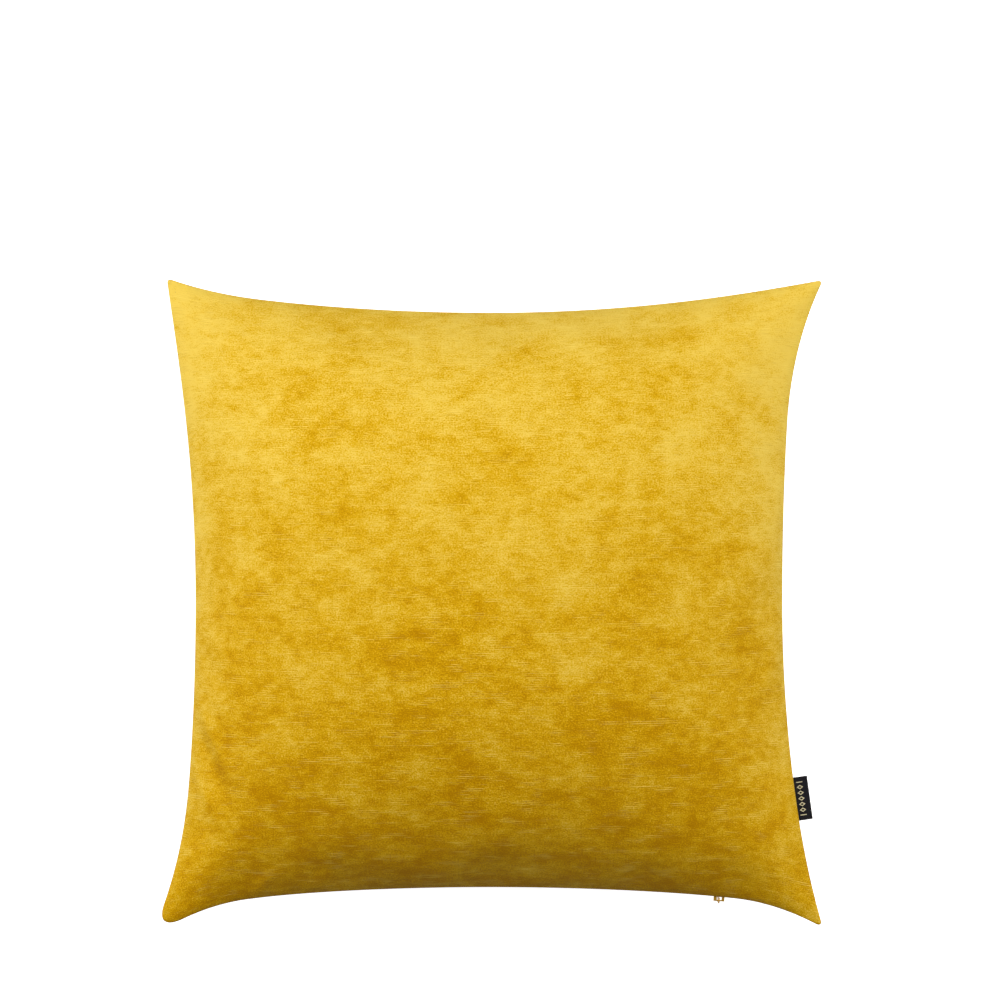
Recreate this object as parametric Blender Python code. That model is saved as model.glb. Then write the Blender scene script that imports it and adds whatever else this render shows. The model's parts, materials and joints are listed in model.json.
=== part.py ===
"""A square throw pillow, lying on its back: a velvet cover with an invisible zip over a filled insert.

Frame: +X runs along the zip seam, +Y from the zip seam to the opposite one, +Z up through the thickness.
The origin is on the surface that the pillow lies on, under its middle.

Every skin is a grid over one shared plan. Its plan parameters run from -1 to 1 between opposite seams, and
its height is a crown that falls to the rim on all four sides. An inner skin is the same grid drawn in and
lowered, so the skins nest without touching. Each seam is an arc that turns out into an ear at each tip.
Pieces along a seam are sections of distance in from the seam and height over the seam plane, carried along
it. The zip lies on the arc of its seam only, so its slider travels about the arc's centre.
"""

import math
from dataclasses import dataclass

import bmesh
import bpy
import numpy as np

# Filled pillow, corner tip to corner tip
TIP_WIDTH = 0.480
TIP_HEIGHT = 0.471
# How far each seam draws in at its middle
BOTTOM_PULL = 0.025
RIGHT_PULL = 0.026
TOP_PULL = 0.024
LEFT_PULL = 0.023
# Length of the ear at each end of a seam: left and right ends, or lower and upper ends
BOTTOM_EARS = (0.062, 0.062)
RIGHT_EARS = (0.060, 0.105)
TOP_EARS = (0.070, 0.060)
LEFT_EARS = (0.100, 0.060)
# Share of the pull that is in the arc; the ears hold the rest
BOTTOM_ARC = (0.55, 0.55)
RIGHT_ARC = (1.0, 0.45)
TOP_ARC = (0.8, 1.0)
LEFT_ARC = (0.65, 1.0)
CROWN = 0.090  # height of a free panel over the seam plane
BACK_FLATTEN = 0.016  # how far the surface below pushes the back panel in
CROWN_ROUNDNESS = 2.5
CROWN_SHOULDER = 0.75
GRID = 16  # cells across a skin

# Cover cloth and its seams
COVER_CLOTH = 0.0012
SEAM_SLIT = 0.0013  # between the two panels' lips
LIP_FOLD = 0.0025  # from the lip in to where the inner skin starts
SEAM_ALLOWANCE = 0.010
ZIP_ALLOWANCE = 0.0048
THREAD = 0.0006
THREAD_FROM_LIP = 0.0068
OVERLOCK_REACH = 0.0012  # how far the overlock reaches over the allowance
SEAM_THREAD_START = 2  # grid cells from the zip seam's tips to the thread's ends
CLEAR = 0.0003  # between pieces that touch

# Insert
INSERT_INSET = 0.017
INSERT_CLOTH = 0.0006
INSERT_SLIT = 0.0006
INSERT_FOLD = 0.0015
INSERT_ALLOWANCE = 0.005
INSERT_GAP = 0.001  # between cover and insert
FILLING_GAP = 0.0008
FILLING_RIM = 0.0015
CLOSING_STITCH_CELLS = 2  # grid cells each side of the middle

# Invisible zip in the seam at -Y
ZIP_FROM_EAR = 0.003  # from the ear to the zip's end, along X
ZIP_END = 0.003  # length at each end that holds a stop
COIL_FROM_LIP = 0.006
COIL_WIDTH = 0.0024
COIL_HEIGHT = 0.0012
TAPE = 0.0005
TAPE_REACH = 0.0145  # the tape's far edge, from the lip
TAPE_STITCH_FROM_LIP = 0.010
BARTACK_LENGTH = 0.008
BARTACK_WIDTH = 0.0036
BARTACK_GAP = 0.002  # to where the bottom seam's thread starts
TIP_MARGIN = 0.012  # from a tip to the end of the bottom seam's thread
ARC_STEPS = 20  # straight runs along the zip

# Slider and pull
SLIDER_LENGTH = 0.008
SLIDER_WALL = 0.0007
SLIDER_NECK = 0.0006
BAR_CENTRE = 0.0033  # outside the lip
BAR_WIDTH = 0.001
WINDOW_REACH = 0.0026  # from the bar's centre in to the window's far edge
WINDOW_LENGTH = 0.004
EYE_INNER = 0.0013
EYE_OUTER = 0.0022
PULL_LENGTH = 0.0225
PULL_WIDTH = 0.005
PULL_THICKNESS = 0.001

# Woven side label in the seam at +X
LABEL_FROM_TIP = 0.0895  # from the lower right tip to the label's middle, along Y
LABEL_LENGTH = 0.032
LABEL_REACH = 0.0106  # outside the lip
LABEL_HINGE = 0.0012  # outside the lip
LABEL_START = 0.0008  # outside the lip
RIBBON = 0.0004
RIBBON_GAP = 0.0003
LABEL_TAIL = 0.0085  # inside the lip

# Care label inside the cover, between grid lines
CARE_COLUMNS = (1, 3)
CARE_ROWS = (5, 6)
CARE_DEPTH = (0.45, 0.50)  # share of the way from cover to insert

HALF_WIDTH = TIP_WIDTH / 2
HALF_HEIGHT = TIP_HEIGHT / 2
SEAM_LEVEL = CROWN - BACK_FLATTEN
SPACING = np.sin(np.linspace(-math.pi / 2, math.pi / 2, GRID + 1))  # finer towards the seams
FRONT, BACK = 1, -1


@dataclass(frozen=True)
class Seam:
    """One side of the plan, between two tips. Each pair holds the value at the low and at the high end."""

    half_chord: float
    pull: float
    arc_shares: tuple
    ear_lengths: tuple

    def radius(self, end):
        """Radius of the arc, through the tips."""
        sagitta = self.pull * self.arc_shares[end]
        return (self.half_chord**2 + sagitta**2) / (2 * sagitta)

    def draw_in(self, along):
        """How far the seam lies inside its chord."""
        halves = []
        for end, (share, ear_length) in enumerate(zip(self.arc_shares, self.ear_lengths)):
            radius = self.radius(end)
            arc = np.sqrt(radius**2 - along**2) - (radius - share * self.pull)
            ear = np.clip(1 + (np.abs(along) - self.half_chord) / ear_length, 0, 1) ** 2
            halves.append(arc + (1 - share) * self.pull * (1 - ear))
        return np.where(np.asarray(along) < 0, *halves)


BOTTOM = Seam(HALF_WIDTH, BOTTOM_PULL, BOTTOM_ARC, BOTTOM_EARS)
RIGHT = Seam(HALF_HEIGHT, RIGHT_PULL, RIGHT_ARC, RIGHT_EARS)
TOP = Seam(HALF_WIDTH, TOP_PULL, TOP_ARC, TOP_EARS)
LEFT = Seam(HALF_HEIGHT, LEFT_PULL, LEFT_ARC, LEFT_EARS)


def plan(u, v):
    """Plan position of the parameters, from the seam that each half of the plan faces."""
    along_x, along_y = u * HALF_WIDTH, v * HALF_HEIGHT
    x = u * (HALF_WIDTH - np.where(u < 0, LEFT.draw_in(along_y), RIGHT.draw_in(along_y)))
    y = v * (HALF_HEIGHT - np.where(v < 0, BOTTOM.draw_in(along_x), TOP.draw_in(along_x)))
    return x, y


def crown(u, v):
    """Share of the full height: 1 in the middle, 0 on the seams."""
    across = (1 - np.abs(u) ** CROWN_ROUNDNESS) * (1 - np.abs(v) ** CROWN_ROUNDNESS)
    return np.maximum(across, 0) ** CROWN_SHOULDER


@dataclass(frozen=True)
class Layer:
    """One nested skin: its inset from the lip, rim and top over the seam plane, and lowest height."""

    inset: float
    rim: float
    top: float
    floor: float

    def skin(self, side):
        """The skin's points, rows along Y and columns along X."""
        u, v = np.meshgrid(SPACING, SPACING)
        x, y = plan(u * (1 - self.inset / HALF_WIDTH), v * (1 - self.inset / HALF_HEIGHT))
        height = self.rim + (self.top - self.rim) * crown(u, v)
        z = np.maximum(SEAM_LEVEL + side * height, self.floor)
        return np.stack([x, y, z], axis=2)


def nested(outer, inset, rim, gap):
    """The layer that lies `gap` inside another one."""
    return Layer(inset, rim, outer.top - gap, outer.floor + gap)


COVER_RIM = SEAM_SLIT / 2 + COVER_CLOTH
INSERT_RIM = INSERT_SLIT / 2 + INSERT_CLOTH
COVER_OUTER = Layer(0.0, COVER_RIM, CROWN, 0.0)
COVER_INNER = nested(COVER_OUTER, LIP_FOLD, COVER_RIM, COVER_CLOTH)
INSERT_OUTER = nested(COVER_INNER, INSERT_INSET, INSERT_RIM, INSERT_GAP)
INSERT_INNER = nested(INSERT_OUTER, INSERT_INSET + INSERT_FOLD, INSERT_RIM, INSERT_CLOTH)
FILLING_INSET = INSERT_INSET + INSERT_ALLOWANCE + FILLING_GAP
FILLING = nested(INSERT_INNER, FILLING_INSET, FILLING_RIM, FILLING_GAP)

COIL_TOP = SEAM_SLIT / 2 + COIL_HEIGHT
COIL_INNER_EDGE = COIL_FROM_LIP + COIL_WIDTH
SLIDER_INSIDE = COIL_TOP + CLEAR
SLIDER_OUTSIDE = SLIDER_INSIDE + SLIDER_WALL
TAPE_LEVEL = SLIDER_OUTSIDE + CLEAR
TAPE_TOP = TAPE_LEVEL + TAPE
SLIT_THREAD = SEAM_SLIT / 2 - CLEAR  # half height of a thread inside the slit

SEAM_RADIUS = BOTTOM.radius(0)
SEAM_CENTRE_Y = -(HALF_HEIGHT - BOTTOM_PULL) - SEAM_RADIUS
ZIP_END_X = HALF_WIDTH - max(BOTTOM_EARS) - ZIP_FROM_EAR
ZIP_HALF = SEAM_RADIUS * math.asin(ZIP_END_X / SEAM_RADIUS)
COIL_HALF = ZIP_HALF - ZIP_END
SLIDER_REST = COIL_HALF - SLIDER_LENGTH / 2 - CLEAR

LABEL_Y = LABEL_FROM_TIP - HALF_HEIGHT
LABEL_X = HALF_WIDTH - float(RIGHT.draw_in(LABEL_Y))
LABEL_ENDS = RIGHT.draw_in(np.array([LABEL_Y - LABEL_LENGTH / 2, LABEL_Y + LABEL_LENGTH / 2]))
LABEL_ANGLE = math.atan2(float(LABEL_ENDS[1] - LABEL_ENDS[0]), LABEL_LENGTH)


def make_material(name, colour, roughness, metallic=0.0):
    material = bpy.data.materials.new(name)
    material.use_nodes = True
    shader = material.node_tree.nodes["Principled BSDF"]
    shader.inputs["Base Color"].default_value = (*colour, 1)
    shader.inputs["Roughness"].default_value = roughness
    shader.inputs["Metallic"].default_value = metallic
    return material


def make_solid(name, points, faces, material):
    """One closed mesh object with its faces pointing out."""
    mesh = bpy.data.meshes.new(name)
    mesh.from_pydata(np.asarray(points).tolist(), [], faces)
    work = bmesh.new()
    work.from_mesh(mesh)
    bmesh.ops.recalc_face_normals(work, faces=work.faces)
    work.to_mesh(mesh)
    work.free()
    mesh.materials.append(material)
    mesh.shade_smooth()
    mesh.set_sharp_from_angle(angle=math.radians(35))
    piece = bpy.data.objects.new(name, mesh)
    bpy.context.scene.collection.objects.link(piece)
    return piece


def grid_faces(start, flip=False):
    """Triangles of a skin whose first point has index `start`, with each cell cut towards the middle."""
    faces = []
    side = GRID + 1
    for row in range(GRID):
        for column in range(GRID):
            a = start + row * side + column
            b, c, d = a + 1, a + side + 1, a + side
            outwards = (row - GRID / 2 + 0.5) * (column - GRID / 2 + 0.5) > 0
            pair = [(a, b, c), (a, c, d)] if outwards else [(a, b, d), (b, c, d)]
            faces += [triangle[::-1] for triangle in pair] if flip else pair
    return faces


def rim_indices():
    """Indices of a skin's rim, going round it anticlockwise from the lower left tip."""
    table = np.arange((GRID + 1) ** 2).reshape(GRID + 1, GRID + 1)
    return np.concatenate([table[0, :-1], table[:-1, -1], table[-1, :0:-1], table[:0:-1, 0]])


def rim_points(inset, height, bottom_inset=None):
    """A flat ring inside the seams, one point for each rim point of a skin."""
    bottom = inset if bottom_inset is None else bottom_inset
    u, v = (axis.ravel()[rim_indices()] for axis in np.meshgrid(SPACING, SPACING))
    low, high = -1 + bottom / HALF_HEIGHT, 1 - inset / HALF_HEIGHT
    x, y = plan(u * (1 - inset / HALF_WIDTH), low + (v + 1) / 2 * (high - low))
    return np.stack([x, y, np.full(len(x), SEAM_LEVEL + height)], axis=1)


def bridge(before, after):
    """Faces between two closed loops of indices."""
    turn = zip(after, np.roll(after, -1), np.roll(before, -1), before)
    return [tuple(int(index) for index in quad) for quad in turn]


def make_panel(name, outer, inner, side, allowance, zip_allowance, material):
    """A panel of cloth with its seam allowance turned in along the seam plane."""
    slit = outer.rim - (inner.floor - outer.floor)
    grid_size = (GRID + 1) ** 2
    ring_size = 4 * GRID
    rings = [
        rim_points(outer.inset, side * slit),
        rim_points(allowance, side * slit, zip_allowance),
        rim_points(allowance, side * outer.rim, zip_allowance),
    ]
    points = np.concatenate([outer.skin(side).reshape(-1, 3), *rings, inner.skin(side).reshape(-1, 3)])
    inner_start = grid_size + len(rings) * ring_size
    loops = [rim_indices()]
    loops += [grid_size + ring_size * ring + np.arange(ring_size) for ring in range(len(rings))]
    loops.append(inner_start + rim_indices())
    faces = grid_faces(0)
    for before, after in zip(loops, loops[1:]):
        faces += bridge(before, after)
    faces += grid_faces(inner_start, flip=True)
    return make_solid(name, points, faces, material)


def make_lens(name, layer, material):
    """One closed body between a front and a back skin."""
    front, back = (layer.skin(side).reshape(-1, 3) for side in (FRONT, BACK))
    faces = grid_faces(0) + bridge(rim_indices(), len(front) + rim_indices())
    faces += grid_faces(len(front), flip=True)
    return make_solid(name, np.concatenate([front, back]), faces, material)


def make_sweep(name, rows, material):
    """A closed bar: rows of section points along a path, capped at both ends."""
    steps, corners = rows.shape[:2]
    faces = [tuple(range(corners)), tuple(range((steps - 1) * corners, steps * corners))]
    for step in range(steps - 1):
        before = step * corners + np.arange(corners)
        faces += bridge(before, before + corners)
    return make_solid(name, rows.reshape(-1, 3), faces, material)


def box_section(near, far, low, high):
    """Corners of a rectangular section."""
    return [(near, low), (far, low), (far, high), (near, high)]


def mirrored(section):
    """A section turned over the seam plane."""
    return [(inset, -height) for inset, height in section]


def make_rim_bar(name, section, path, material):
    """A section of (inset, height) carried along some of the rim's points."""
    rows = np.stack([rim_points(inset, height)[path] for inset, height in section], axis=1)
    return make_sweep(name, rows, material)


def make_bottom_bar(name, section, start, end, material, steps=4):
    """A section of (inset, height) carried along the bottom seam between two places along X."""
    u = np.linspace(start, end, steps + 1) / HALF_WIDTH
    columns = []
    for inset, height in section:
        x, y = plan(u, np.full(len(u), -1 + inset / HALF_HEIGHT))
        columns.append(np.stack([x, y, np.full(len(u), SEAM_LEVEL + height)], axis=1))
    return make_sweep(name, np.stack(columns, axis=1), material)


def make_zip_bar(name, section, start, end, material, steps=ARC_STEPS):
    """A section of (distance in, height) carried along the zip seam's arc, between two lengths from its middle."""
    angle = np.linspace(start, end, steps + 1) / SEAM_RADIUS
    columns = []
    for inward, height in section:
        radius = SEAM_RADIUS + inward
        level = np.full(len(angle), SEAM_LEVEL + height)
        columns.append(np.stack([radius * np.sin(angle), SEAM_CENTRE_Y + radius * np.cos(angle), level], axis=1))
    return make_sweep(name, np.stack(columns, axis=1), material)


def make_prism(name, outline, length, material, place):
    """A flat outline with a thickness, put in its own frame by `place(outline point, offset)`."""
    rows = [[place(point, offset) for point in outline] for offset in (-length / 2, length / 2)]
    return make_sweep(name, np.array(rows), material)


def cut(piece, cutter):
    """Takes the cutter's shape out of a piece."""
    cutter.hide_render = True
    cutter.display_type = "WIRE"
    hole = piece.modifiers.new("hole", "BOOLEAN")
    hole.object = cutter
    hole.solver = "EXACT"
    hole.operation = "DIFFERENCE"


def build_cover(velvet, thread):
    for name, side in (("cover_front", FRONT), ("cover_back", BACK)):
        make_panel(name, COVER_OUTER, COVER_INNER, side, SEAM_ALLOWANCE, ZIP_ALLOWANCE, velvet)
    # Left side upwards is the last quarter of the rim backwards, then the top and the right side downwards.
    path = np.arange(4 * GRID - SEAM_THREAD_START, GRID + SEAM_THREAD_START - 1, -1)
    thread_low = COVER_RIM + CLEAR
    needle = box_section(THREAD_FROM_LIP, THREAD_FROM_LIP + THREAD, thread_low, thread_low + THREAD)
    make_rim_bar("seam_needle_thread", needle, path, thread)
    make_rim_bar("seam_bobbin_thread", mirrored(needle), path, thread)
    near = SEAM_ALLOWANCE - OVERLOCK_REACH
    edge = SEAM_ALLOWANCE + CLEAR
    upper = [(near, thread_low), (near, thread_low + THREAD), (edge + THREAD, thread_low + THREAD)]
    section = [*upper, *mirrored(upper[::-1]), (edge, -thread_low), (edge, thread_low)]
    make_rim_bar("seam_overlock", section, path, thread)


def build_zip_seam(tape, coil, metal, thread):
    slit = SEAM_SLIT / 2
    chain = box_section(COIL_FROM_LIP, COIL_INNER_EDGE, slit, COIL_TOP)
    leg_far = COIL_FROM_LIP - CLEAR
    leg_near = leg_far - TAPE
    tape_section = [
        (leg_near, slit),
        (leg_far, slit),
        (leg_far, TAPE_LEVEL),
        (TAPE_REACH, TAPE_LEVEL),
        (TAPE_REACH, TAPE_TOP),
        (leg_near, TAPE_TOP),
    ]
    stitch_low = TAPE_TOP + CLEAR
    stitch = box_section(TAPE_STITCH_FROM_LIP, TAPE_STITCH_FROM_LIP + THREAD, stitch_low, stitch_low + THREAD)
    for name, turn in (("front", list), ("back", mirrored)):
        make_zip_bar(f"zip_tape_{name}", turn(tape_section), -ZIP_HALF, ZIP_HALF, tape)
        make_zip_bar(f"zip_coil_{name}", turn(chain), -COIL_HALF, COIL_HALF, coil)
        make_zip_bar(f"zip_stitch_{name}", turn(stitch), -ZIP_HALF, ZIP_HALF, thread)
        make_zip_bar(f"zip_top_stop_{name}", turn(chain), COIL_HALF + CLEAR, ZIP_HALF - CLEAR, metal, 1)
    bridge_stop = box_section(COIL_FROM_LIP, COIL_INNER_EDGE, -COIL_TOP, COIL_TOP)
    make_zip_bar("zip_bottom_stop", bridge_stop, -ZIP_HALF + CLEAR, -COIL_HALF - CLEAR, metal, 1)

    tack_near = 2 * CLEAR
    tack = box_section(tack_near, tack_near + BARTACK_WIDTH, -SLIT_THREAD, SLIT_THREAD)
    seam = box_section(LIP_FOLD, LIP_FOLD + THREAD, -SLIT_THREAD, SLIT_THREAD)
    tack_end = ZIP_HALF + BARTACK_LENGTH
    for name, way in (("left", -1), ("right", 1)):
        make_zip_bar(f"bartack_{name}", tack, way * ZIP_HALF, way * tack_end, thread, 2)
        ends = (way * (tack_end + BARTACK_GAP), way * (HALF_WIDTH - TIP_MARGIN))
        make_bottom_bar(f"bottom_seam_thread_{name}", seam, *ends, thread)


def build_slider(metal):
    """Slider round the zip seam's arc centre, with the pull on its bar."""
    neck = SLIDER_NECK / 2
    back_near = COIL_INNER_EDGE + CLEAR
    half = [
        (-BAR_CENTRE - BAR_WIDTH / 2, neck),
        (back_near, neck),
        (back_near, SLIDER_INSIDE),
        (COIL_FROM_LIP, SLIDER_INSIDE),
        (COIL_FROM_LIP, SLIDER_OUTSIDE),
        (back_near + SLIDER_WALL, SLIDER_OUTSIDE),
    ]

    def across(point, offset):
        return (offset, SEAM_RADIUS + point[0], point[1])

    slider = make_prism("zip_slider", [*half, *mirrored(half[::-1])], SLIDER_LENGTH, metal, across)
    window = box_section(-BAR_CENTRE + BAR_WIDTH / 2, -BAR_CENTRE + WINDOW_REACH, -2 * neck, 2 * neck)
    window_cutter = make_prism("window_cutter", window, WINDOW_LENGTH, metal, across)
    cut(slider, window_cutter)
    window_cutter.parent = slider
    slider.location = (0, SEAM_CENTRE_Y, SEAM_LEVEL)
    slider.rotation_euler = (0, 0, -SLIDER_REST / SEAM_RADIUS)

    half_width = PULL_WIDTH / 2
    over = [math.radians(degrees) for degrees in range(-20, 201, 20)]
    under = [math.radians(degrees) for degrees in range(180, 361, 20)]
    outline = [(EYE_OUTER * math.cos(a), EYE_OUTER * math.sin(a)) for a in over]
    outline.append((-half_width, -2 * EYE_OUTER))
    end = -PULL_LENGTH + half_width
    outline += [(half_width * math.cos(a), end + half_width * math.sin(a)) for a in under]
    outline.append((half_width, -2 * EYE_OUTER))

    def upright(point, offset):
        return (offset, point[0], point[1])

    pull = make_prism("zip_pull", outline, PULL_THICKNESS, metal, upright)
    round_hole = [math.radians(degrees) for degrees in range(0, 360, 20)]
    eye = [(EYE_INNER * math.cos(a), EYE_INNER * math.sin(a)) for a in round_hole]
    eye_cutter = make_prism("eye_cutter", eye, 3 * PULL_THICKNESS, metal, upright)
    cut(pull, eye_cutter)
    eye_cutter.parent = pull
    pull.parent = slider
    pull.location = (0, SEAM_RADIUS - BAR_CENTRE, 0)


def build_side_label(ribbon):
    """A folded ribbon: a loop outside the seam, and its two tails sewn in between the allowances."""
    outside = RIBBON + RIBBON_GAP / 2
    inside = RIBBON_GAP / 2
    start, end = LABEL_START - LABEL_HINGE, LABEL_REACH - LABEL_HINGE
    upper = [(end - RIBBON, inside), (start, inside), (start, outside), (end - RIBBON, outside)]
    upper.append((end, inside))
    loop = [*upper, *mirrored(upper[::-1])]
    tail_end = -LABEL_HINGE - LABEL_TAIL
    tails = box_section(tail_end, -LABEL_HINGE - CLEAR, -SLIT_THREAD, SLIT_THREAD)

    def along_seam(point, offset):
        return (point[0], offset, point[1])

    x, y = LABEL_X + LABEL_HINGE * math.cos(LABEL_ANGLE), LABEL_Y + LABEL_HINGE * math.sin(LABEL_ANGLE)
    for name, outline in (("side_label", loop), ("side_label_tails", tails)):
        piece = make_prism(name, outline, LABEL_LENGTH, ribbon, along_seam)
        piece.location = (x, y, SEAM_LEVEL)
        piece.rotation_euler = (0, 0, LABEL_ANGLE)


def build_care_label(satin):
    """A small sheet between the cover's inner skin and the insert, by the seam at -X."""
    cover, insert = COVER_INNER.skin(FRONT), INSERT_OUTER.skin(FRONT)
    columns = range(CARE_COLUMNS[0], CARE_COLUMNS[1] + 1)
    rows = []
    for column in columns:
        corners = []
        for depth, order in zip(CARE_DEPTH, (1, -1)):
            sheet = cover + (insert - cover) * depth
            corners += [sheet[row, column] for row in CARE_ROWS[::order]]
        rows.append(corners)
    make_sweep("care_label", np.array(rows), satin)


def build_insert(cotton, fibre, thread):
    allowance = INSERT_INSET + INSERT_ALLOWANCE
    for name, side in (("insert_casing_front", FRONT), ("insert_casing_back", BACK)):
        make_panel(name, INSERT_OUTER, INSERT_INNER, side, allowance, allowance, cotton)
    make_lens("insert_filling", FILLING, fibre)
    middle = 2 * GRID + GRID // 2
    path = np.arange(middle - CLOSING_STITCH_CELLS, middle + CLOSING_STITCH_CELLS + 1)
    far = INSERT_INSET - CLEAR
    stitch = box_section(far - THREAD, far, -THREAD / 2, THREAD / 2)
    make_rim_bar("insert_closing_stitch", stitch, path, thread)


def clear_scene():
    for old in list(bpy.data.objects):
        bpy.data.objects.remove(old)


def main():
    clear_scene()
    velvet = make_material("mustard velvet", (0.60, 0.36, 0.02), 0.85)
    thread = make_material("mustard thread", (0.52, 0.31, 0.03), 0.7)
    tape = make_material("mustard zip tape", (0.50, 0.30, 0.03), 0.8)
    coil = make_material("mustard nylon coil", (0.55, 0.33, 0.04), 0.45)
    lacquer = make_material("mustard lacquered zinc", (0.55, 0.34, 0.04), 0.35, 0.3)
    ribbon = make_material("black woven ribbon", (0.012, 0.012, 0.014), 0.75)
    cotton = make_material("white cotton", (0.86, 0.85, 0.82), 0.9)
    fibre = make_material("white fibre", (0.90, 0.89, 0.87), 1.0)
    satin = make_material("white satin", (0.88, 0.88, 0.87), 0.5)
    build_cover(velvet, thread)
    build_zip_seam(tape, coil, lacquer, thread)
    build_slider(lacquer)
    build_side_label(ribbon)
    build_care_label(satin)
    build_insert(cotton, fibre, thread)


main()
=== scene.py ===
"""A velvet throw pillow lying on its back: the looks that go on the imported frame.

The cover is two panels of cloth, blown up by a cloth simulation between seams that stay on the outline.
A label folded from woven ribbon stands out of one seam, and a zip with its slider and pull closes another.
Everything is in metres in the frame's own axes: the zip seam is at -Y, the label's seam at +X.
"""

import json
import logging
import math
from collections.abc import Mapping, Sequence
from dataclasses import dataclass, field
from enum import Enum

import bmesh
import bpy
import numpy as np
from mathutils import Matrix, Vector


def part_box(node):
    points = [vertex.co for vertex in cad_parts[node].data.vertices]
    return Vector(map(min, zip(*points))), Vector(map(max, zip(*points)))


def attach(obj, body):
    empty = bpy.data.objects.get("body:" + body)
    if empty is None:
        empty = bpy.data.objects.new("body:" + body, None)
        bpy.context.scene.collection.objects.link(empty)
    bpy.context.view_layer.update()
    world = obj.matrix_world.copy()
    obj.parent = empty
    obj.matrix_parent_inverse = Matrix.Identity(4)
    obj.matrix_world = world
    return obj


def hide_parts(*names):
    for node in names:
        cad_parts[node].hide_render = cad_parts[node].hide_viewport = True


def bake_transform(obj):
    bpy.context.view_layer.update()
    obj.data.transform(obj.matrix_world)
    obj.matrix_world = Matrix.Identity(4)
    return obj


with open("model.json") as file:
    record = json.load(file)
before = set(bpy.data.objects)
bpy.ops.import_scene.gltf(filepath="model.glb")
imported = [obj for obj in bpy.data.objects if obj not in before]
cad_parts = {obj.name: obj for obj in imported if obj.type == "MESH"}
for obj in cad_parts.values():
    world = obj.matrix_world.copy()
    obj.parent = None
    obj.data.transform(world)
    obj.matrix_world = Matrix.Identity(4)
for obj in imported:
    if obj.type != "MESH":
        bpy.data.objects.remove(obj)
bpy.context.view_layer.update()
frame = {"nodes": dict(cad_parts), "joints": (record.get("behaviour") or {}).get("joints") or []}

LOG = logging.getLogger("pillow")
Colour = tuple[float, float, float]
MM = 0.001
UP = np.array((0.0, 0.0, 1.0))


class Side(Enum):
    """Which of the two panels: its value is the way that it faces along Z."""

    FRONT = 1
    BACK = -1


class Tip(Enum):
    """The outline's four tips, each with its signs along X and Y."""

    LOWER_LEFT = (-1, -1)
    LOWER_RIGHT = (1, -1)
    UPPER_RIGHT = (1, 1)
    UPPER_LEFT = (-1, 1)


# ---------------------------------------------------------------------------------------------------------
# Shader graph


class Signal:
    """The output of a shader node. Python's operators on it add Math nodes."""

    def __init__(self, graph: "ShaderGraph", socket: bpy.types.NodeSocket) -> None:
        """Keeps the output socket and its graph."""
        self.graph, self.socket = graph, socket

    def math(self, operation: str, *others: "Signal | float") -> "Signal":
        """A Math node on this signal and the others."""
        return self.graph.node("ShaderNodeMath", {"operation": operation}, dict(enumerate((self, *others))))

    def __add__(self, other: "Signal | float") -> "Signal":
        """Sum."""
        return self.math("ADD", other)

    def __mul__(self, other: "Signal | float") -> "Signal":
        """Product."""
        return self.math("MULTIPLY", other)

    __radd__ = __add__
    __rmul__ = __mul__

    def __sub__(self, other: "Signal | float") -> "Signal":
        """Difference."""
        return self.math("SUBTRACT", other)

    def __rsub__(self, other: float) -> "Signal":
        """Difference from a number."""
        return self * -1.0 + other

    def __truediv__(self, other: "Signal | float") -> "Signal":
        """Quotient."""
        return self.math("DIVIDE", other)

    def __pow__(self, other: float) -> "Signal":
        """Power."""
        return self.math("POWER", other)

    def __abs__(self) -> "Signal":
        """Size without its sign."""
        return self.math("ABSOLUTE")

    def step(self, low: float, high: float) -> "Signal":
        """A smooth step from 0 at `low` to 1 at `high`; it falls if `low` is the larger."""
        inputs = {"Value": self, "From Min": low, "From Max": high}
        return self.graph.node("ShaderNodeMapRange", {"interpolation_type": "SMOOTHSTEP"}, inputs)

    def sine(self, period: float) -> "Signal":
        """A wave of the given period, from -1 to 1."""
        return (self * (2 * math.pi / period)).math("SINE")

    def repeat(self, period: float) -> "Signal":
        """The distance to the nearest multiple of `period`, with its sign."""
        return self.math("WRAP", period / 2, -period / 2)


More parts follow.
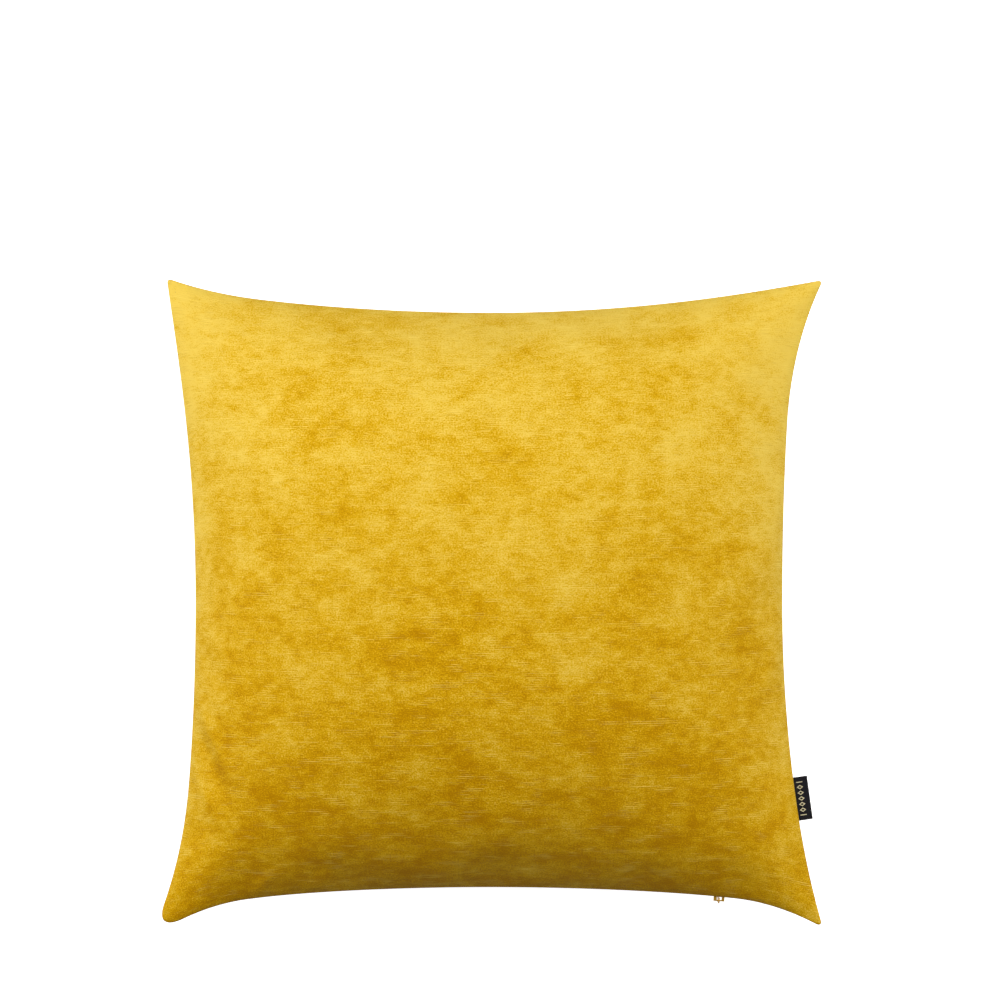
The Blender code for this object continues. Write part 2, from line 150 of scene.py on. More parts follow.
class ShaderGraph:
    """The nodes of one material, round a Principled shader."""

    def __init__(self, material: bpy.types.Material) -> None:
        """Starts from the material's own Principled shader.

        Args:
            material: an empty material.
        """
        material.use_nodes = True
        self.tree = material.node_tree
        self.shader = self.tree.nodes["Principled BSDF"]

    def node(
        self,
        kind: str,
        settings: Mapping[str, object] | None = None,
        inputs: Mapping[int | str, "Signal | float | Sequence[float]"] | None = None,
        output: int | str = 0,
    ) -> Signal:
        """Adds a node.

        Args:
            kind: the node's type.
            settings: its own settings, set before its sockets.
            inputs: a value or a signal for each socket, by name or number.
            output: which of its outputs is wanted.

        Returns:
            That output.
        """
        made = self.tree.nodes.new(kind)
        for name, value in (settings or {}).items():
            setattr(made, name, value)
        for name, value in (inputs or {}).items():
            self.plug(made.inputs[name], value)
        return Signal(self, made.outputs[output])

    def plug(self, socket: bpy.types.NodeSocket, value: "Signal | float | Sequence[float]") -> None:
        """Links a signal to a socket, or sets the socket's own value.

        Args:
            socket: the input socket.
            value: what goes in.
        """
        if isinstance(value, Signal):
            self.tree.links.new(value.socket, socket)
        else:
            socket.default_value = value

    def cloth(self, width: float, height: float, seed: float = 0.0) -> Signal:
        """Place on the flat cloth in metres, by the UV map.

        Args:
            width: the cloth's width.
            height: the cloth's height.
            seed: which stretch of cloth, as a distance in metres.

        Returns:
            The place as a vector.
        """
        place = self.node("ShaderNodeUVMap", {"uv_map": "cloth"})
        inputs = {0: place, 1: (width, height, 0), 2: (0, 0, seed)}
        return self.node("ShaderNodeVectorMath", {"operation": "MULTIPLY_ADD"}, inputs)

    def place(self) -> Signal:
        """Place on the object in metres."""
        return self.node("ShaderNodeTexCoord", output="Object")

    def axis(self, place: Signal, name: str) -> Signal:
        """One axis of a place, X, Y or Z."""
        return self.node("ShaderNodeSeparateXYZ", inputs={0: place}, output=name)

    def stretched(self, place: Signal, sizes: Sequence[float]) -> Signal:
        """A place measured in grains of these sizes along X, Y and Z."""
        scale = tuple(1 / size for size in sizes)
        return self.node("ShaderNodeVectorMath", {"operation": "MULTIPLY"}, {0: place, 1: scale})

    def noise(
        self, place: Signal, sizes: Sequence[float], detail: float = 2.0, rough: float = 0.5, output: int = 0
    ) -> Signal:
        """Noise about 0.5 with grains of these sizes in metres; output 1 is three of them at once."""
        inputs = {"Vector": self.stretched(place, sizes), "Scale": 1.0, "Detail": detail, "Roughness": rough}
        return self.node("ShaderNodeTexNoise", inputs=inputs, output=output)

    def moved(self, place: Signal, size: float, reach: float) -> Signal:
        """A place pushed about by noise of the given grain size, up to `reach`.

        Args:
            place: the place as a vector.
            size: size of a grain of the noise.
            reach: how far it pushes.

        Returns:
            The new place.
        """
        push = self.noise(place, (size,) * 3, output=1)
        inputs = {0: push, 1: (2 * reach,) * 3, 2: (-reach,) * 3}
        offset = self.node("ShaderNodeVectorMath", {"operation": "MULTIPLY_ADD"}, inputs)
        return self.node("ShaderNodeVectorMath", {"operation": "ADD"}, {0: place, 1: offset})

    def mix(self, share: Signal | float, low: Signal | Colour, high: Signal | Colour) -> Signal:
        """A colour between two others, by share.

        Args:
            share: how much of the second there is.
            low: the first colour.
            high: the second colour.

        Returns:
            The mixed colour.
        """
        low, high = (value if isinstance(value, Signal) else (*value, 1.0) for value in (low, high))
        settings = {"data_type": "RGBA", "clamp_factor": True}
        return self.node("ShaderNodeMix", settings, {0: share, 6: low, 7: high}, output=2)

    def bump(self, height: Signal, distance: float, strength: float = 1.0) -> Signal:
        """A normal from a height of 0 to 1 that stands for `distance` metres."""
        inputs = {"Height": height, "Distance": distance, "Strength": strength}
        return self.node("ShaderNodeBump", inputs=inputs)

    def finish(self, values: Mapping[str, "Signal | float | Sequence[float]"]) -> None:
        """Sets the Principled shader's sockets by name."""
        for name, value in values.items():
            self.plug(self.shader.inputs[name], value)


@dataclass(frozen=True)
class Finish:
    """A finish, which makes one material."""

    name: str

    def paint(self, graph: ShaderGraph) -> None:
        """Adds the finish's nodes; each finish has its own."""
        raise NotImplementedError

    def material(self) -> bpy.types.Material:
        """A new material with this finish.

        Returns:
            The material.
        """
        material = bpy.data.materials.new(self.name)
        self.paint(ShaderGraph(material))
        return material


@dataclass(frozen=True)
class Grain:
    """Noise of one size on the cloth: the length and width of its grains, and how much it counts."""

    length: float
    width: float
    weight: float = 1.0
    detail: float = 2.0
    rough: float = 0.5

    def noise(self, graph: ShaderGraph, cloth: Signal) -> Signal:
        """The noise itself, about 0.5."""
        return graph.noise(cloth, (self.length, self.width, 1.0), self.detail, self.rough)

    def swing(self, graph: ShaderGraph, cloth: Signal) -> Signal:
        """The noise about 0, by its weight."""
        return (self.noise(graph, cloth) - 0.5) * self.weight


@dataclass(frozen=True)
class VelvetPile(Finish):
    """Crushed velvet on a slubbed ground: patches where the pile leans apart, speckle and slub threads."""

    width: float
    height: float
    seed: float
    # The three tones vary at random over the cloth; they also carry painted light and shade, the pale tone
    # painted towards the upper seam and the dark tone towards the lower seam.
    shade: Colour = (0.465, 0.208, 0.0)
    body: Colour = (0.68, 0.385, 0.002)
    light: Colour = (0.82, 0.575, 0.088)
    slub: Colour = (0.94, 0.72, 0.14)
    sheen_tint: Colour = (1.0, 0.74, 0.12)
    drift: tuple[float, float] = (0.05, 0.012)
    patches: Grain = Grain(0.0837, 0.062, 0.75, 2.0, 0.55)
    blotches: Grain = Grain(0.0266, 0.019, 0.85)
    dabs: Grain = Grain(0.00868, 0.0062, 0.80, 2.0, 0.6)
    specks: Grain = Grain(0.00121, 0.0011, 2.2, 2.0, 0.7)
    lines: Grain = Grain(0.009, 0.0006, 0.5, 1.0)
    threads: Grain = Grain(0.014, 0.00075, detail=1.0)
    bundles: Grain = Grain(0.024, 0.007, rough=0.6)
    row_pitch: float = 0.0016
    row_wander: tuple[float, float] = (0.02, 0.0008)
    # Painted light and shade: how much paler the pile is painted towards the upper seam and darker towards
    # the lower one.
    painted_top_light: float = 0.68
    # Painted sheen: how much paler the pile is painted by the side seams, and how closely it keeps to them.
    painted_side_sheen: float = 0.30
    painted_sheen_reach: float = 7.0
    row_bundles: tuple[float, float] = (0.50, 0.66)
    row_threads: tuple[float, float] = (0.36, 0.62)
    slub_share: float = 0.6
    dips: tuple[float, float] = (0.42, 0.30)
    dip_share: float = 0.22
    slub_rise: float = 0.28
    pile_depth: float = 0.0007

    def paint(self, graph: ShaderGraph) -> None:
        """Mixes three colours of pile by how it leans and by painted light, shade and sheen, then adds slubs
        and the pile's bump.

        Painted light and shade: the pile is painted paler towards the upper seam and darker towards the lower
        one, and a painted sheen makes it paler by the side seams. The pile leans by noise at five sizes.

        Args:
            graph: the nodes of the material.
        """
        cloth = graph.cloth(self.width, self.height, self.seed)
        drift = graph.moved(cloth, *self.drift)
        # Painted light and shade: paler towards the upper seam, darker towards the lower one.
        rise = graph.axis(cloth, "Y") / self.height - 0.5
        # Painted sheen near the left and right seams.
        painted_sheen_mask = (abs(graph.axis(cloth, "X") / self.width - 0.5) * 2.0) ** self.painted_sheen_reach
        patches, blotches = (grain.swing(graph, drift) for grain in (self.patches, self.blotches))
        dabs, specks, lines = (grain.swing(graph, cloth) for grain in (self.dabs, self.specks, self.lines))
        # The pile's random lean plus painted light, shade and sheen.
        soft = rise * self.painted_top_light + painted_sheen_mask * self.painted_side_sheen + patches + blotches + dabs + 0.5
        pile_lean_and_painted_light = soft + specks + lines
        tone = graph.mix(pile_lean_and_painted_light * 2.0, self.shade, self.body)
        tone = graph.mix(pile_lean_and_painted_light * 2.0 - 1.0, tone, self.light)

        threads = self.threads.noise(graph, cloth)
        rows = graph.axis(graph.moved(cloth, *self.row_wander), "Y").sine(self.row_pitch).step(0.0, 1.0)
        bundles = self.bundles.noise(graph, cloth).step(*self.row_bundles)
        slubs = rows * bundles * threads.step(*self.row_threads)
        tone = graph.mix(slubs * self.slub_share, tone, self.slub)
        tone = graph.mix(threads.step(*self.dips) * self.dip_share, tone, self.shade)

        height = specks * 0.25 + dabs * 0.75 + lines * 0.7 + slubs * self.slub_rise
        graph.finish({
            "Base Color": tone,
            "Roughness": 0.78 - soft * 0.12,
            "Normal": graph.bump(height, self.pile_depth, 0.75),
            "Specular IOR Level": 0.03,
            "Sheen Weight": 0.30,
            "Sheen Roughness": 0.34,
            "Sheen Tint": (*self.sheen_tint, 1.0),
        })


@dataclass(frozen=True)
class Weave(Finish):
    """A plain or ribbed weave: two sets of threads, each with its own pitch, on the object's own place."""

    colour: Colour
    shade: Colour
    pitch: float = 0.0005
    across: float = 0.0005
    depth: float = 0.0001
    roughness: float = 0.85
    sheen: float = 0.2
    uneven: float = 0.004

    def paint(self, graph: ShaderGraph) -> None:
        """Crosses two waves for the threads and varies the colour a little along them.

        Args:
            graph: the nodes of the material.
        """
        place = graph.place()
        warp = graph.axis(place, "X").sine(self.pitch)
        weft = graph.axis(place, "Y").sine(self.across)
        threads = warp * weft * 0.5 + 0.5
        uneven = graph.noise(place, (self.uneven,) * 3, 3.0, 0.6)
        graph.finish({
            "Base Color": graph.mix(threads * 0.45 + uneven * 0.45, self.shade, self.colour),
            "Roughness": self.roughness - threads * 0.1,
            "Normal": graph.bump(threads, self.depth, 0.6),
            "Specular IOR Level": 0.25,
            "Sheen Weight": self.sheen,
        })


@dataclass(frozen=True)
class TwistedThread(Finish):
    """Sewing thread in short stitches: a ply that winds round, and a dip where each stitch goes down."""

    colour: Colour
    shade: Colour
    stitch: float = 0.0028
    ply: float = 0.0005
    depth: float = 0.00012

    def paint(self, graph: ShaderGraph) -> None:
        """Slanted waves for the ply, and a longer one for the stitches.

        Args:
            graph: the nodes of the material.
        """
        place = graph.place()
        run = graph.axis(place, "X") + graph.axis(place, "Y")
        ply = (run + graph.axis(place, "Z")).sine(self.ply) * 0.5 + 0.5
        stitches = abs(run.sine(2 * self.stitch)) ** 0.4
        graph.finish({
            "Base Color": graph.mix(ply * 0.5 + stitches * 0.5, self.shade, self.colour),
            "Roughness": 0.62 - ply * 0.1,
            "Normal": graph.bump(ply * 0.4 + stitches, self.depth, 0.7),
            "Sheen Weight": 0.15,
        })


@dataclass(frozen=True)
class NylonCoil(Finish):
    """The zip's nylon coil: one bright crown for each turn."""

    colour: Colour
    shade: Colour
    turn: float = 0.0011
    depth: float = 0.0003

    def paint(self, graph: ShaderGraph) -> None:
        """Dark gaps between the turns.

        Args:
            graph: the nodes of the material.
        """
        turns = abs(graph.axis(graph.place(), "X").sine(2 * self.turn))
        graph.finish({
            "Base Color": graph.mix(turns, self.shade, self.colour),
            "Roughness": 0.55 - turns * 0.2,
            "Normal": graph.bump(turns, self.depth, 0.8),
        })


@dataclass(frozen=True)
class LacqueredZinc(Finish):
    """Die-cast zinc lacquered in the cover's colour, with a fine orange peel and duller, paler wear."""

    colour: Colour = (0.50, 0.27, 0.012)
    worn: Colour = (0.62, 0.47, 0.17)
    peel: float = 0.0006
    peel_depth: float = 0.00004
    wear: float = 0.0035

    def paint(self, graph: ShaderGraph) -> None:
        """Rubs some of the lacquer thin.

        Args:
            graph: the nodes of the material.
        """
        place = graph.place()
        peel = graph.noise(place, (self.peel,) * 3)
        rubbed = graph.noise(place, (self.wear,) * 3, 4.0, 0.7).step(0.52, 0.78)
        graph.finish({
            "Base Color": graph.mix(rubbed * 0.5, self.colour, self.worn),
            "Metallic": rubbed * 0.4 + 0.35,
            "Roughness": rubbed * 0.15 + peel * 0.08 + 0.26,
            "Normal": graph.bump(peel, self.peel_depth, 0.6),
            "Coat Weight": 0.3,
            "Coat Roughness": 0.2,
        })


@dataclass(frozen=True)
class WovenRibbon(Finish):
    """Black satin-woven ribbon with a row of small gold lozenges and a fine line at each end of the row."""

    length: float
    width: float
    face_middle: float
    ground: Colour = (0.0030, 0.0028, 0.0046)
    ground_light: Colour = (0.0100, 0.0095, 0.0150)
    gold: Colour = (0.90, 0.82, 0.50)
    row_pitch: float = 0.0042
    row_half: float = 0.0105
    lozenge: tuple[float, float] = (0.0016, 0.0024)
    ring: float = 0.78
    ring_edge: tuple[float, float] = (0.26, 0.16)
    line_half: float = 0.00026
    line_out: float = 0.0016
    warp_pitch: float = 0.00034
    weft_pitch: float = 0.00042
    depth: float = 0.00009

    def paint(self, graph: ShaderGraph) -> None:
        """Draws the motif on both faces by the distance along the ribbon from its fold.

        Args:
            graph: the nodes of the material.
        """
        cloth = graph.cloth(self.length, self.width)
        reach = abs(graph.axis(cloth, "X") - self.length / 2)
        along = graph.axis(cloth, "Y") - self.width / 2
        warp = along.sine(self.warp_pitch) * 0.5 + 0.5
        weft = graph.axis(cloth, "X").sine(self.weft_pitch) * 0.5 + 0.5
        off = abs(reach - self.face_middle)
        diamond = abs(along.repeat(self.row_pitch)) / self.lozenge[0] + off / self.lozenge[1]
        in_row = abs(along).step(self.row_half + 0.0001, self.row_half - 0.0001)
        ring = abs(diamond - self.ring).step(*self.ring_edge) * in_row
        from_line = abs(abs(along) - self.row_half - self.line_out)
        line = from_line.step(self.line_half + 0.00008, self.line_half - 0.00002)
        line = line * off.step(self.lozenge[1], self.lozenge[1] - 0.0002)
        gold = ring.math("MAXIMUM", line) * (warp * 0.35 + 0.65)
        ground = graph.mix(warp * 0.6 + weft * 0.3, self.ground, self.ground_light)
        graph.finish({
            "Base Color": graph.mix(gold, ground, self.gold),
            "Roughness": 0.66 - gold * 0.14,
            "Normal": graph.bump(warp * 0.5 + weft * 0.3 + gold * 0.8, self.depth, 0.8),
            "Specular IOR Level": 0.18,
            "Sheen Weight": 0.02,
        })


@dataclass(frozen=True)
class LoftyFibre(Finish):
    """Hollow-fibre filling: soft tufts, with fine strands over them."""

    colour: Colour = (0.90, 0.89, 0.86)
    shade: Colour = (0.70, 0.69, 0.66)
    tuft: float = 0.018
    strand: tuple[float, float, float] = (0.006, 0.0006, 0.003)
    strand_bend: tuple[float, float] = (0.01, 0.004)
    depth: float = 0.003

    def paint(self, graph: ShaderGraph) -> None:
        """Tufts and strands by noise at two sizes.

        Args:
            graph: the nodes of the material.
        """
        place = graph.place()
        tufts = graph.noise(place, (self.tuft,) * 3, 4.0, 0.6)
        strands = graph.noise(graph.moved(place, *self.strand_bend), self.strand)
        graph.finish({
            "Base Color": graph.mix(tufts * 0.6 + strands * 0.5, self.shade, self.colour),
            "Roughness": 0.98 - strands * 0.05,
            "Normal": graph.bump(tufts + strands * 0.2, self.depth, 0.7),
            "Sheen Weight": 0.3,
        })


# ---------------------------------------------------------------------------------------------------------
# Surfaces as arrays


def spline_matrix(count: int, targets: np.ndarray) -> np.ndarray:
    """Rows of weights that read a natural cubic spline through evenly spaced values.

    With f the share of the way from value k to the next, the spline is (1 - f) y[k] + f y[k+1]
    + ((1 - f)^3 - (1 - f)) c[k] / 6 + (f^3 - f) c[k+1] / 6, and its curvatures c solve
    c[k-1] + 4 c[k] + c[k+1] = 6 (y[k-1] - 2 y[k] + y[k+1]).

    Args:
        count: how many values there are, on -1 to 1.
        targets: where the spline is read, from -1 to 1.

    Returns:
        A matrix with a row for each target and a column for each value.
    """
    one = np.eye(count)
    second = 6 * (np.roll(one, 1, 0) - 2 * one + np.roll(one, -1, 0))
    second[[0, -1]] = 0
    system = 4 * one + np.eye(count, k=1) + np.eye(count, k=-1)
    system[[0, -1]] = one[[0, -1]]
    curvature = np.linalg.solve(system, second)
    place = (np.clip(targets, -1, 1) + 1) / 2 * (count - 1)
    start = np.minimum(place.astype(int), count - 2)
    f = (place - start)[:, None]
    straight = (1 - f) * one[start] + f * one[start + 1]
    return straight + ((1 - f) ** 3 - (1 - f)) * curvature[start] / 6 + (f**3 - f) * curvature[start + 1] / 6


def smooth_step(values: np.ndarray, low: float, high: float) -> np.ndarray:
    """0 up to `low`, 1 from `high` on, and 3 t^2 - 2 t^3 between them."""
    t = np.clip((values - low) / (high - low), 0, 1)
    return t * t * (3 - 2 * t)


def table_quads(table: np.ndarray) -> np.ndarray:
    """Faces of a table of indices, anticlockwise where rows run up and columns to the right."""
    corners = (table[:-1, :-1], table[:-1, 1:], table[1:, 1:], table[1:, :-1])
    return np.stack(corners, axis=-1).reshape(-1, 4)


def grid_quads(rows: int, columns: int, start: int = 0) -> np.ndarray:
    """Faces of a grid of points that are numbered row by row."""
    return table_quads(start + np.arange(rows * columns).reshape(rows, columns))


def ring_quads(before: np.ndarray, after: np.ndarray) -> np.ndarray:
    """Faces between two closed loops of indices of the same length."""
    return np.stack([before, after, np.roll(after, -1), np.roll(before, -1)], axis=-1)


def rim_of(side: int) -> np.ndarray:
    """Indices round a square grid's rim, anticlockwise from its first point."""
    table = np.arange(side * side).reshape(side, side)
    return np.concatenate([table[0, :-1], table[:-1, -1], table[-1, :0:-1], table[:0:-1, 0]])


def lens_faces(side: int) -> np.ndarray:
    """Faces of a closed body between two square grids: the first, a band round their rims, the second.

    Args:
        side: how many points each grid has along a side.

    Returns:
        One row of corners for each face.
    """
    rim = rim_of(side)
    second = grid_quads(side, side, side**2)[:, ::-1]
    return np.concatenate([grid_quads(side, side), ring_quads(rim, rim + side**2), second])


def build_mesh(
    name: str,
    points: np.ndarray,
    faces: np.ndarray,
    cloth: np.ndarray | None = None,
    finishes: Sequence[bpy.types.Material] = (),
    which: np.ndarray | None = None,
) -> bpy.types.Object:
    """Makes a smooth-shaded object of points and faces.

    Args:
        name: the piece's name.
        points: one row for each point.
        faces: one row of corners for each face.
        cloth: each point's place on the cloth, from 0 to 1, for the UV map.
        finishes: the piece's materials.
        which: each face's material, by number.

    Returns:
        The new object, in the scene.
    """
    mesh = bpy.data.meshes.new(name)
    mesh.from_pydata(points.tolist(), [], faces.tolist())
    if cloth is not None:
        corners = np.empty(len(mesh.loops), np.int32)
        mesh.loops.foreach_get("vertex_index", corners)
        layer = mesh.uv_layers.new(name="cloth")
        layer.data.foreach_set("uv", cloth[corners].astype(np.float32).ravel())
    for finish in finishes:
        mesh.materials.append(finish)
    if which is not None:
        mesh.polygons.foreach_set("material_index", which.astype(np.int32))
    mesh.shade_smooth()
    mesh.update()
    piece = bpy.data.objects.new(name, mesh)
    bpy.context.scene.collection.objects.link(piece)
    return piece


# ---------------------------------------------------------------------------------------------------------
# The pillow's form


@dataclass(frozen=True)
class SeamLine:
    """One seam between two tips: an arc that turns out into an ear at each end.

    Each pair holds the value at the low and at the high end.
    """

    half_chord: float
    pull: float
    arc_shares: tuple[float, float]
    ear_lengths: tuple[float, float]

    def draw_in(self, along: np.ndarray) -> np.ndarray:
        """How far the seam lies inside its chord.

        Between the ears it is an arc, sqrt(radius^2 - along^2) - (radius - sagitta), plus the rest of the
        pull. Each ear takes that rest away towards its tip, by 1 - ear^2.

        Args:
            along: distances along the chord from its middle.

        Returns:
            The draw in at each of them.
        """
        halves = []
        for share, ear_length in zip(self.arc_shares, self.ear_lengths):
            sagitta = share * self.pull
            radius = (self.half_chord**2 + sagitta**2) / (2 * sagitta)
            arc = np.sqrt(np.maximum(radius**2 - along**2, 0)) - (radius - sagitta)
            ear = np.clip(1 + (np.abs(along) - self.half_chord) / ear_length, 0, 1) ** 2
            halves.append(arc + (1 - share) * self.pull * (1 - ear))
        return np.where(along < 0, *halves)


@dataclass(frozen=True)
class Outline:
    """The pillow from above: four seams, and the tips rounded and moved a little, each its own way."""

    half_width: float
    half_height: float
    bottom: SeamLine
    right: SeamLine
    top: SeamLine
    left: SeamLine
    tip_radii: Mapping[Tip, float]
    tip_moves: Mapping[Tip, tuple[float, float]]
    tip_reach: float = 7.0

    def rounded(self, u: np.ndarray, v: np.ndarray) -> tuple[np.ndarray, np.ndarray]:
        """Rounds the tips: in a tip's radius, (p, q) turns into (p sqrt(1 - q^2/2), q sqrt(1 - p^2/2)).

        Args:
            u: parameter across.
            v: parameter up.

        Returns:
            Both parameters with the tips rounded.
        """
        gap_x, gap_y = (1 - np.abs(u)) * self.half_width, (1 - np.abs(v)) * self.half_height
        radius = np.zeros(np.broadcast(u, v).shape)
        for tip, size in self.tip_radii.items():
            radius = np.where((u * tip.value[0] > 0) & (v * tip.value[1] > 0), size, radius)
        radius = np.maximum(radius, 1e-6)
        p, q = np.clip(1 - gap_x / radius, 0, 1), np.clip(1 - gap_y / radius, 0, 1)
        in_x = radius * (p - p * np.sqrt(1 - q * q / 2))
        in_y = radius * (q - q * np.sqrt(1 - p * p / 2))
        return u - np.sign(u) * in_x / self.half_width, v - np.sign(v) * in_y / self.half_height

    def at(self, u: np.ndarray, v: np.ndarray) -> tuple[np.ndarray, np.ndarray]:
        """Place of the plan's parameters, which run from -1 to 1 between opposite seams.

        Each half of the plan is drawn in as the seam that it faces, x = u (half width - draw in), and near
        each tip the place moves by that tip's move times |u v|^reach.

        Args:
            u: parameter across.
            v: parameter up.

        Returns:
            X and Y in metres.
        """
        u, v = self.rounded(u, v)
        along_x, along_y = u * self.half_width, v * self.half_height
        side_in = np.where(u < 0, self.left.draw_in(along_y), self.right.draw_in(along_y))
        end_in = np.where(v < 0, self.bottom.draw_in(along_x), self.top.draw_in(along_x))
        x, y = u * (self.half_width - side_in), v * (self.half_height - end_in)
        for tip, (move_x, move_y) in self.tip_moves.items():
            near = np.clip(u * tip.value[0], 0, 1) * np.clip(v * tip.value[1], 0, 1)
            x, y = x + move_x * near**self.tip_reach, y + move_y * near**self.tip_reach
        return x, y


@dataclass(frozen=True)
class Layer:
    """One nested skin: how far in from the lip it ends, its height there, and its depth under the cover."""

    inset: float
    rim: float
    depth: float


@dataclass(frozen=True)
class Fold:
    """A soft ridge (or a valley, if its height is below 0) between two places on the front panel's cloth."""

    start: tuple[float, float]
    end: tuple[float, float]
    width: float
    height: float
    fade_in: tuple[float, float] = (-0.3, 0.3)
    fade_out: tuple[float, float] = (0.6, 1.3)

    def rise(self, x: np.ndarray, y: np.ndarray) -> np.ndarray:
        """Its height at places on the flat cloth: height exp(-(across/width)^2), faded at both ends.

        Args:
            x: distance across the cloth from its middle.
            y: distance up it.

        Returns:
            The height at each place.
        """
        (run_x, run_y), (start_x, start_y) = np.subtract(self.end, self.start), self.start
        length = math.hypot(run_x, run_y)
        along = ((x - start_x) * run_x + (y - start_y) * run_y) / length**2
        across = ((y - start_y) * run_x - (x - start_x) * run_y) / length
        ends = smooth_step(along, *self.fade_in) * (1 - smooth_step(along, *self.fade_out))
        return self.height * ends * np.exp(-((across / self.width) ** 2))


@dataclass
class PillowForm:
    """The filled pillow: outline, crown, and the cloth's own movement from them, shared by every skin."""

    outline: Outline
    level: float
    crown: float
    flat_width: float = 0.4935
    flat_height: float = 0.4855
    roundness: float = 2.5
    shoulder: float = 0.75
    floor_ease: float = 0.006
    pucker: float = 0.0005
    pucker_reach: float = 0.016
    pucker_waves: tuple[int, ...] = (17, 23, 29, 37, 41, 53)
    pucker_swell: float = 0.21
    folds: tuple[Fold, ...] = (
        Fold((-0.236, -0.078), (-0.196, -0.128), 0.0075, 0.0030),
        Fold((-0.232, -0.098), (-0.200, -0.146), 0.0065, -0.0022),
        Fold((-0.238, -0.128), (-0.206, -0.165), 0.0070, 0.0024),
        Fold((-0.236, -0.030), (-0.205, -0.064), 0.0080, -0.0014),
        Fold((-0.175, -0.236), (-0.158, -0.212), 0.0060, 0.0014),
        Fold((-0.128, -0.236), (-0.120, -0.214), 0.0055, 0.0013),
        Fold((0.232, -0.040), (0.204, -0.075), 0.0080, 0.0015),
    )
    fold_start: float = 0.006
    spread_steps: int = 800
    seed: int = 11
    moves: dict[Side, np.ndarray] = field(default_factory=dict)

    def height(self, u: np.ndarray, v: np.ndarray) -> np.ndarray:
        """Share of the crown: ((1 - |u|^roundness) (1 - |v|^roundness))^shoulder."""
        across = (1 - np.abs(u) ** self.roundness) * (1 - np.abs(v) ** self.roundness)
        return np.maximum(across, 0) ** self.shoulder

    def spread(self, cloth: np.ndarray, half: float) -> np.ndarray:
        """Plan parameter for a place on the flat cloth, so that the cloth runs evenly over the crown.

        Args:
            cloth: places across the cloth, from -1 to 1.
            half: half of the span from seam to seam.

        Returns:
            The parameter at each place.
        """
        dense = np.sin(np.linspace(-math.pi / 2, math.pi / 2, self.spread_steps + 1))
        over = self.crown * self.height(dense, np.zeros_like(dense))
        run = np.concatenate([[0], np.cumsum(np.hypot(np.diff(dense * half), np.diff(over)))])
        return np.interp(cloth, 2 * run / run[-1] - 1, dense)

    def parameters(self, s: np.ndarray, t: np.ndarray) -> tuple[np.ndarray, np.ndarray]:
        """Plan parameters of flat-cloth places: even over the crown in the middle, and along the seams.

        Args:
            s: places across the cloth, from -1 to 1.
            t: places up it.

        Returns:
            The parameters u and v.
        """
        outline = self.outline
        half_x, half_y = outline.half_width - outline.right.pull, outline.half_height - outline.top.pull
        side, end = self.height(np.zeros_like(t), t), self.height(s, np.zeros_like(s))
        u = s + (self.spread(s, half_x) - s) * side
        v = t + (self.spread(t, half_y) - t) * end
        return u, v

    def smooth(self, side: Side, s: np.ndarray, t: np.ndarray, layer: Layer) -> np.ndarray:
        """A skin before the cloth has moved: the outline drawn in by the inset, under the crown.

        Args:
            side: which panel.
            s: places across the cloth, from -1 to 1.
            t: places up it.
            layer: which of the nested skins.

        Returns:
            The points, with X, Y and Z on the last axis.
        """
        u, v = self.parameters(s, t)
        shrink_x, shrink_y = (
            1 - layer.inset / half for half in (self.outline.half_width, self.outline.half_height)
        )
        x, y = self.outline.at(u * shrink_x, v * shrink_y)
        rise = layer.rim + (self.crown - layer.depth - layer.rim) * self.height(u, v)
        return np.stack([x, y, self.level + side.value * rise], axis=-1)

    def puckers(self, side: Side, s: np.ndarray, t: np.ndarray) -> np.ndarray:
        """Small gathers by the seams: waves along each seam that fade within reach and vanish on it.

        Args:
            side: which panel.
            s: places across the cloth, from -1 to 1.
            t: places up it.

        Returns:
            How far the cloth rises at each place.
        """
        random = np.random.default_rng(self.seed + side.value)
        total = np.zeros_like(s)
        for along, across, width in ((s, t, self.flat_height), (t, s, self.flat_width)):
            gap = (1 - np.abs(across)) * width / 2
            fade = np.exp(-gap / self.pucker_reach) * (1 - np.exp(-gap / (self.pucker_reach / 4)))
            for count in self.pucker_waves:
                phase, swell_phase = random.uniform(0, 2 * math.pi, 2)
                swell = 0.5 + 0.5 * np.sin(along * count * self.pucker_swell + swell_phase)
                total += fade * swell * np.sin(along * count + np.sign(across) * 2 + phase)
        return self.pucker * total

    def folded(self, side: Side, s: np.ndarray, t: np.ndarray) -> np.ndarray:
        """The front panel's folds, which vanish on the seams.

        Args:
            side: which panel.
            s: places across the cloth, from -1 to 1.
            t: places up it.

        Returns:
            How far the cloth rises at each place.
        """
        x, y = s * self.flat_width / 2, t * self.flat_height / 2
        gap = np.minimum(self.flat_width / 2 - np.abs(x), self.flat_height / 2 - np.abs(y))
        folds = self.folds if side is Side.FRONT else ()
        total = sum((fold.rise(x, y) for fold in folds), np.zeros_like(x))
        return (1 - np.exp(-gap / self.fold_start)) * total

    def skin(self, side: Side, s_axis: np.ndarray, t_axis: np.ndarray, layer: Layer) -> np.ndarray:
        """A skin's points: rows along Y, columns along X.

        The cloth's movement is a cubic spline through the simulated points. Below, the skin settles on the
        floor by z -> (z + sqrt(z^2 + ease^2)) / 2, measured from its own depth.

        Args:
            side: which panel.
            s_axis: the columns' places across the cloth, from -1 to 1.
            t_axis: the rows' places up it.
            layer: which of the nested skins.

        Returns:
            The points, with X, Y and Z on the last axis.
        """
        s, t = np.meshgrid(s_axis, t_axis)
        points = self.smooth(side, s, t, layer)
        if side in self.moves:
            moves = self.moves[side]
            across, up = spline_matrix(moves.shape[1], s_axis), spline_matrix(moves.shape[0], t_axis)
            points = points + np.einsum("ai,ijk,bj->abk", up, moves, across)
        points[..., 2] += side.value * (self.puckers(side, s, t) + self.folded(side, s, t))
        over = points[..., 2] - layer.depth
        points[..., 2] = layer.depth + (over + np.sqrt(over**2 + self.floor_ease**2)) / 2
        return points


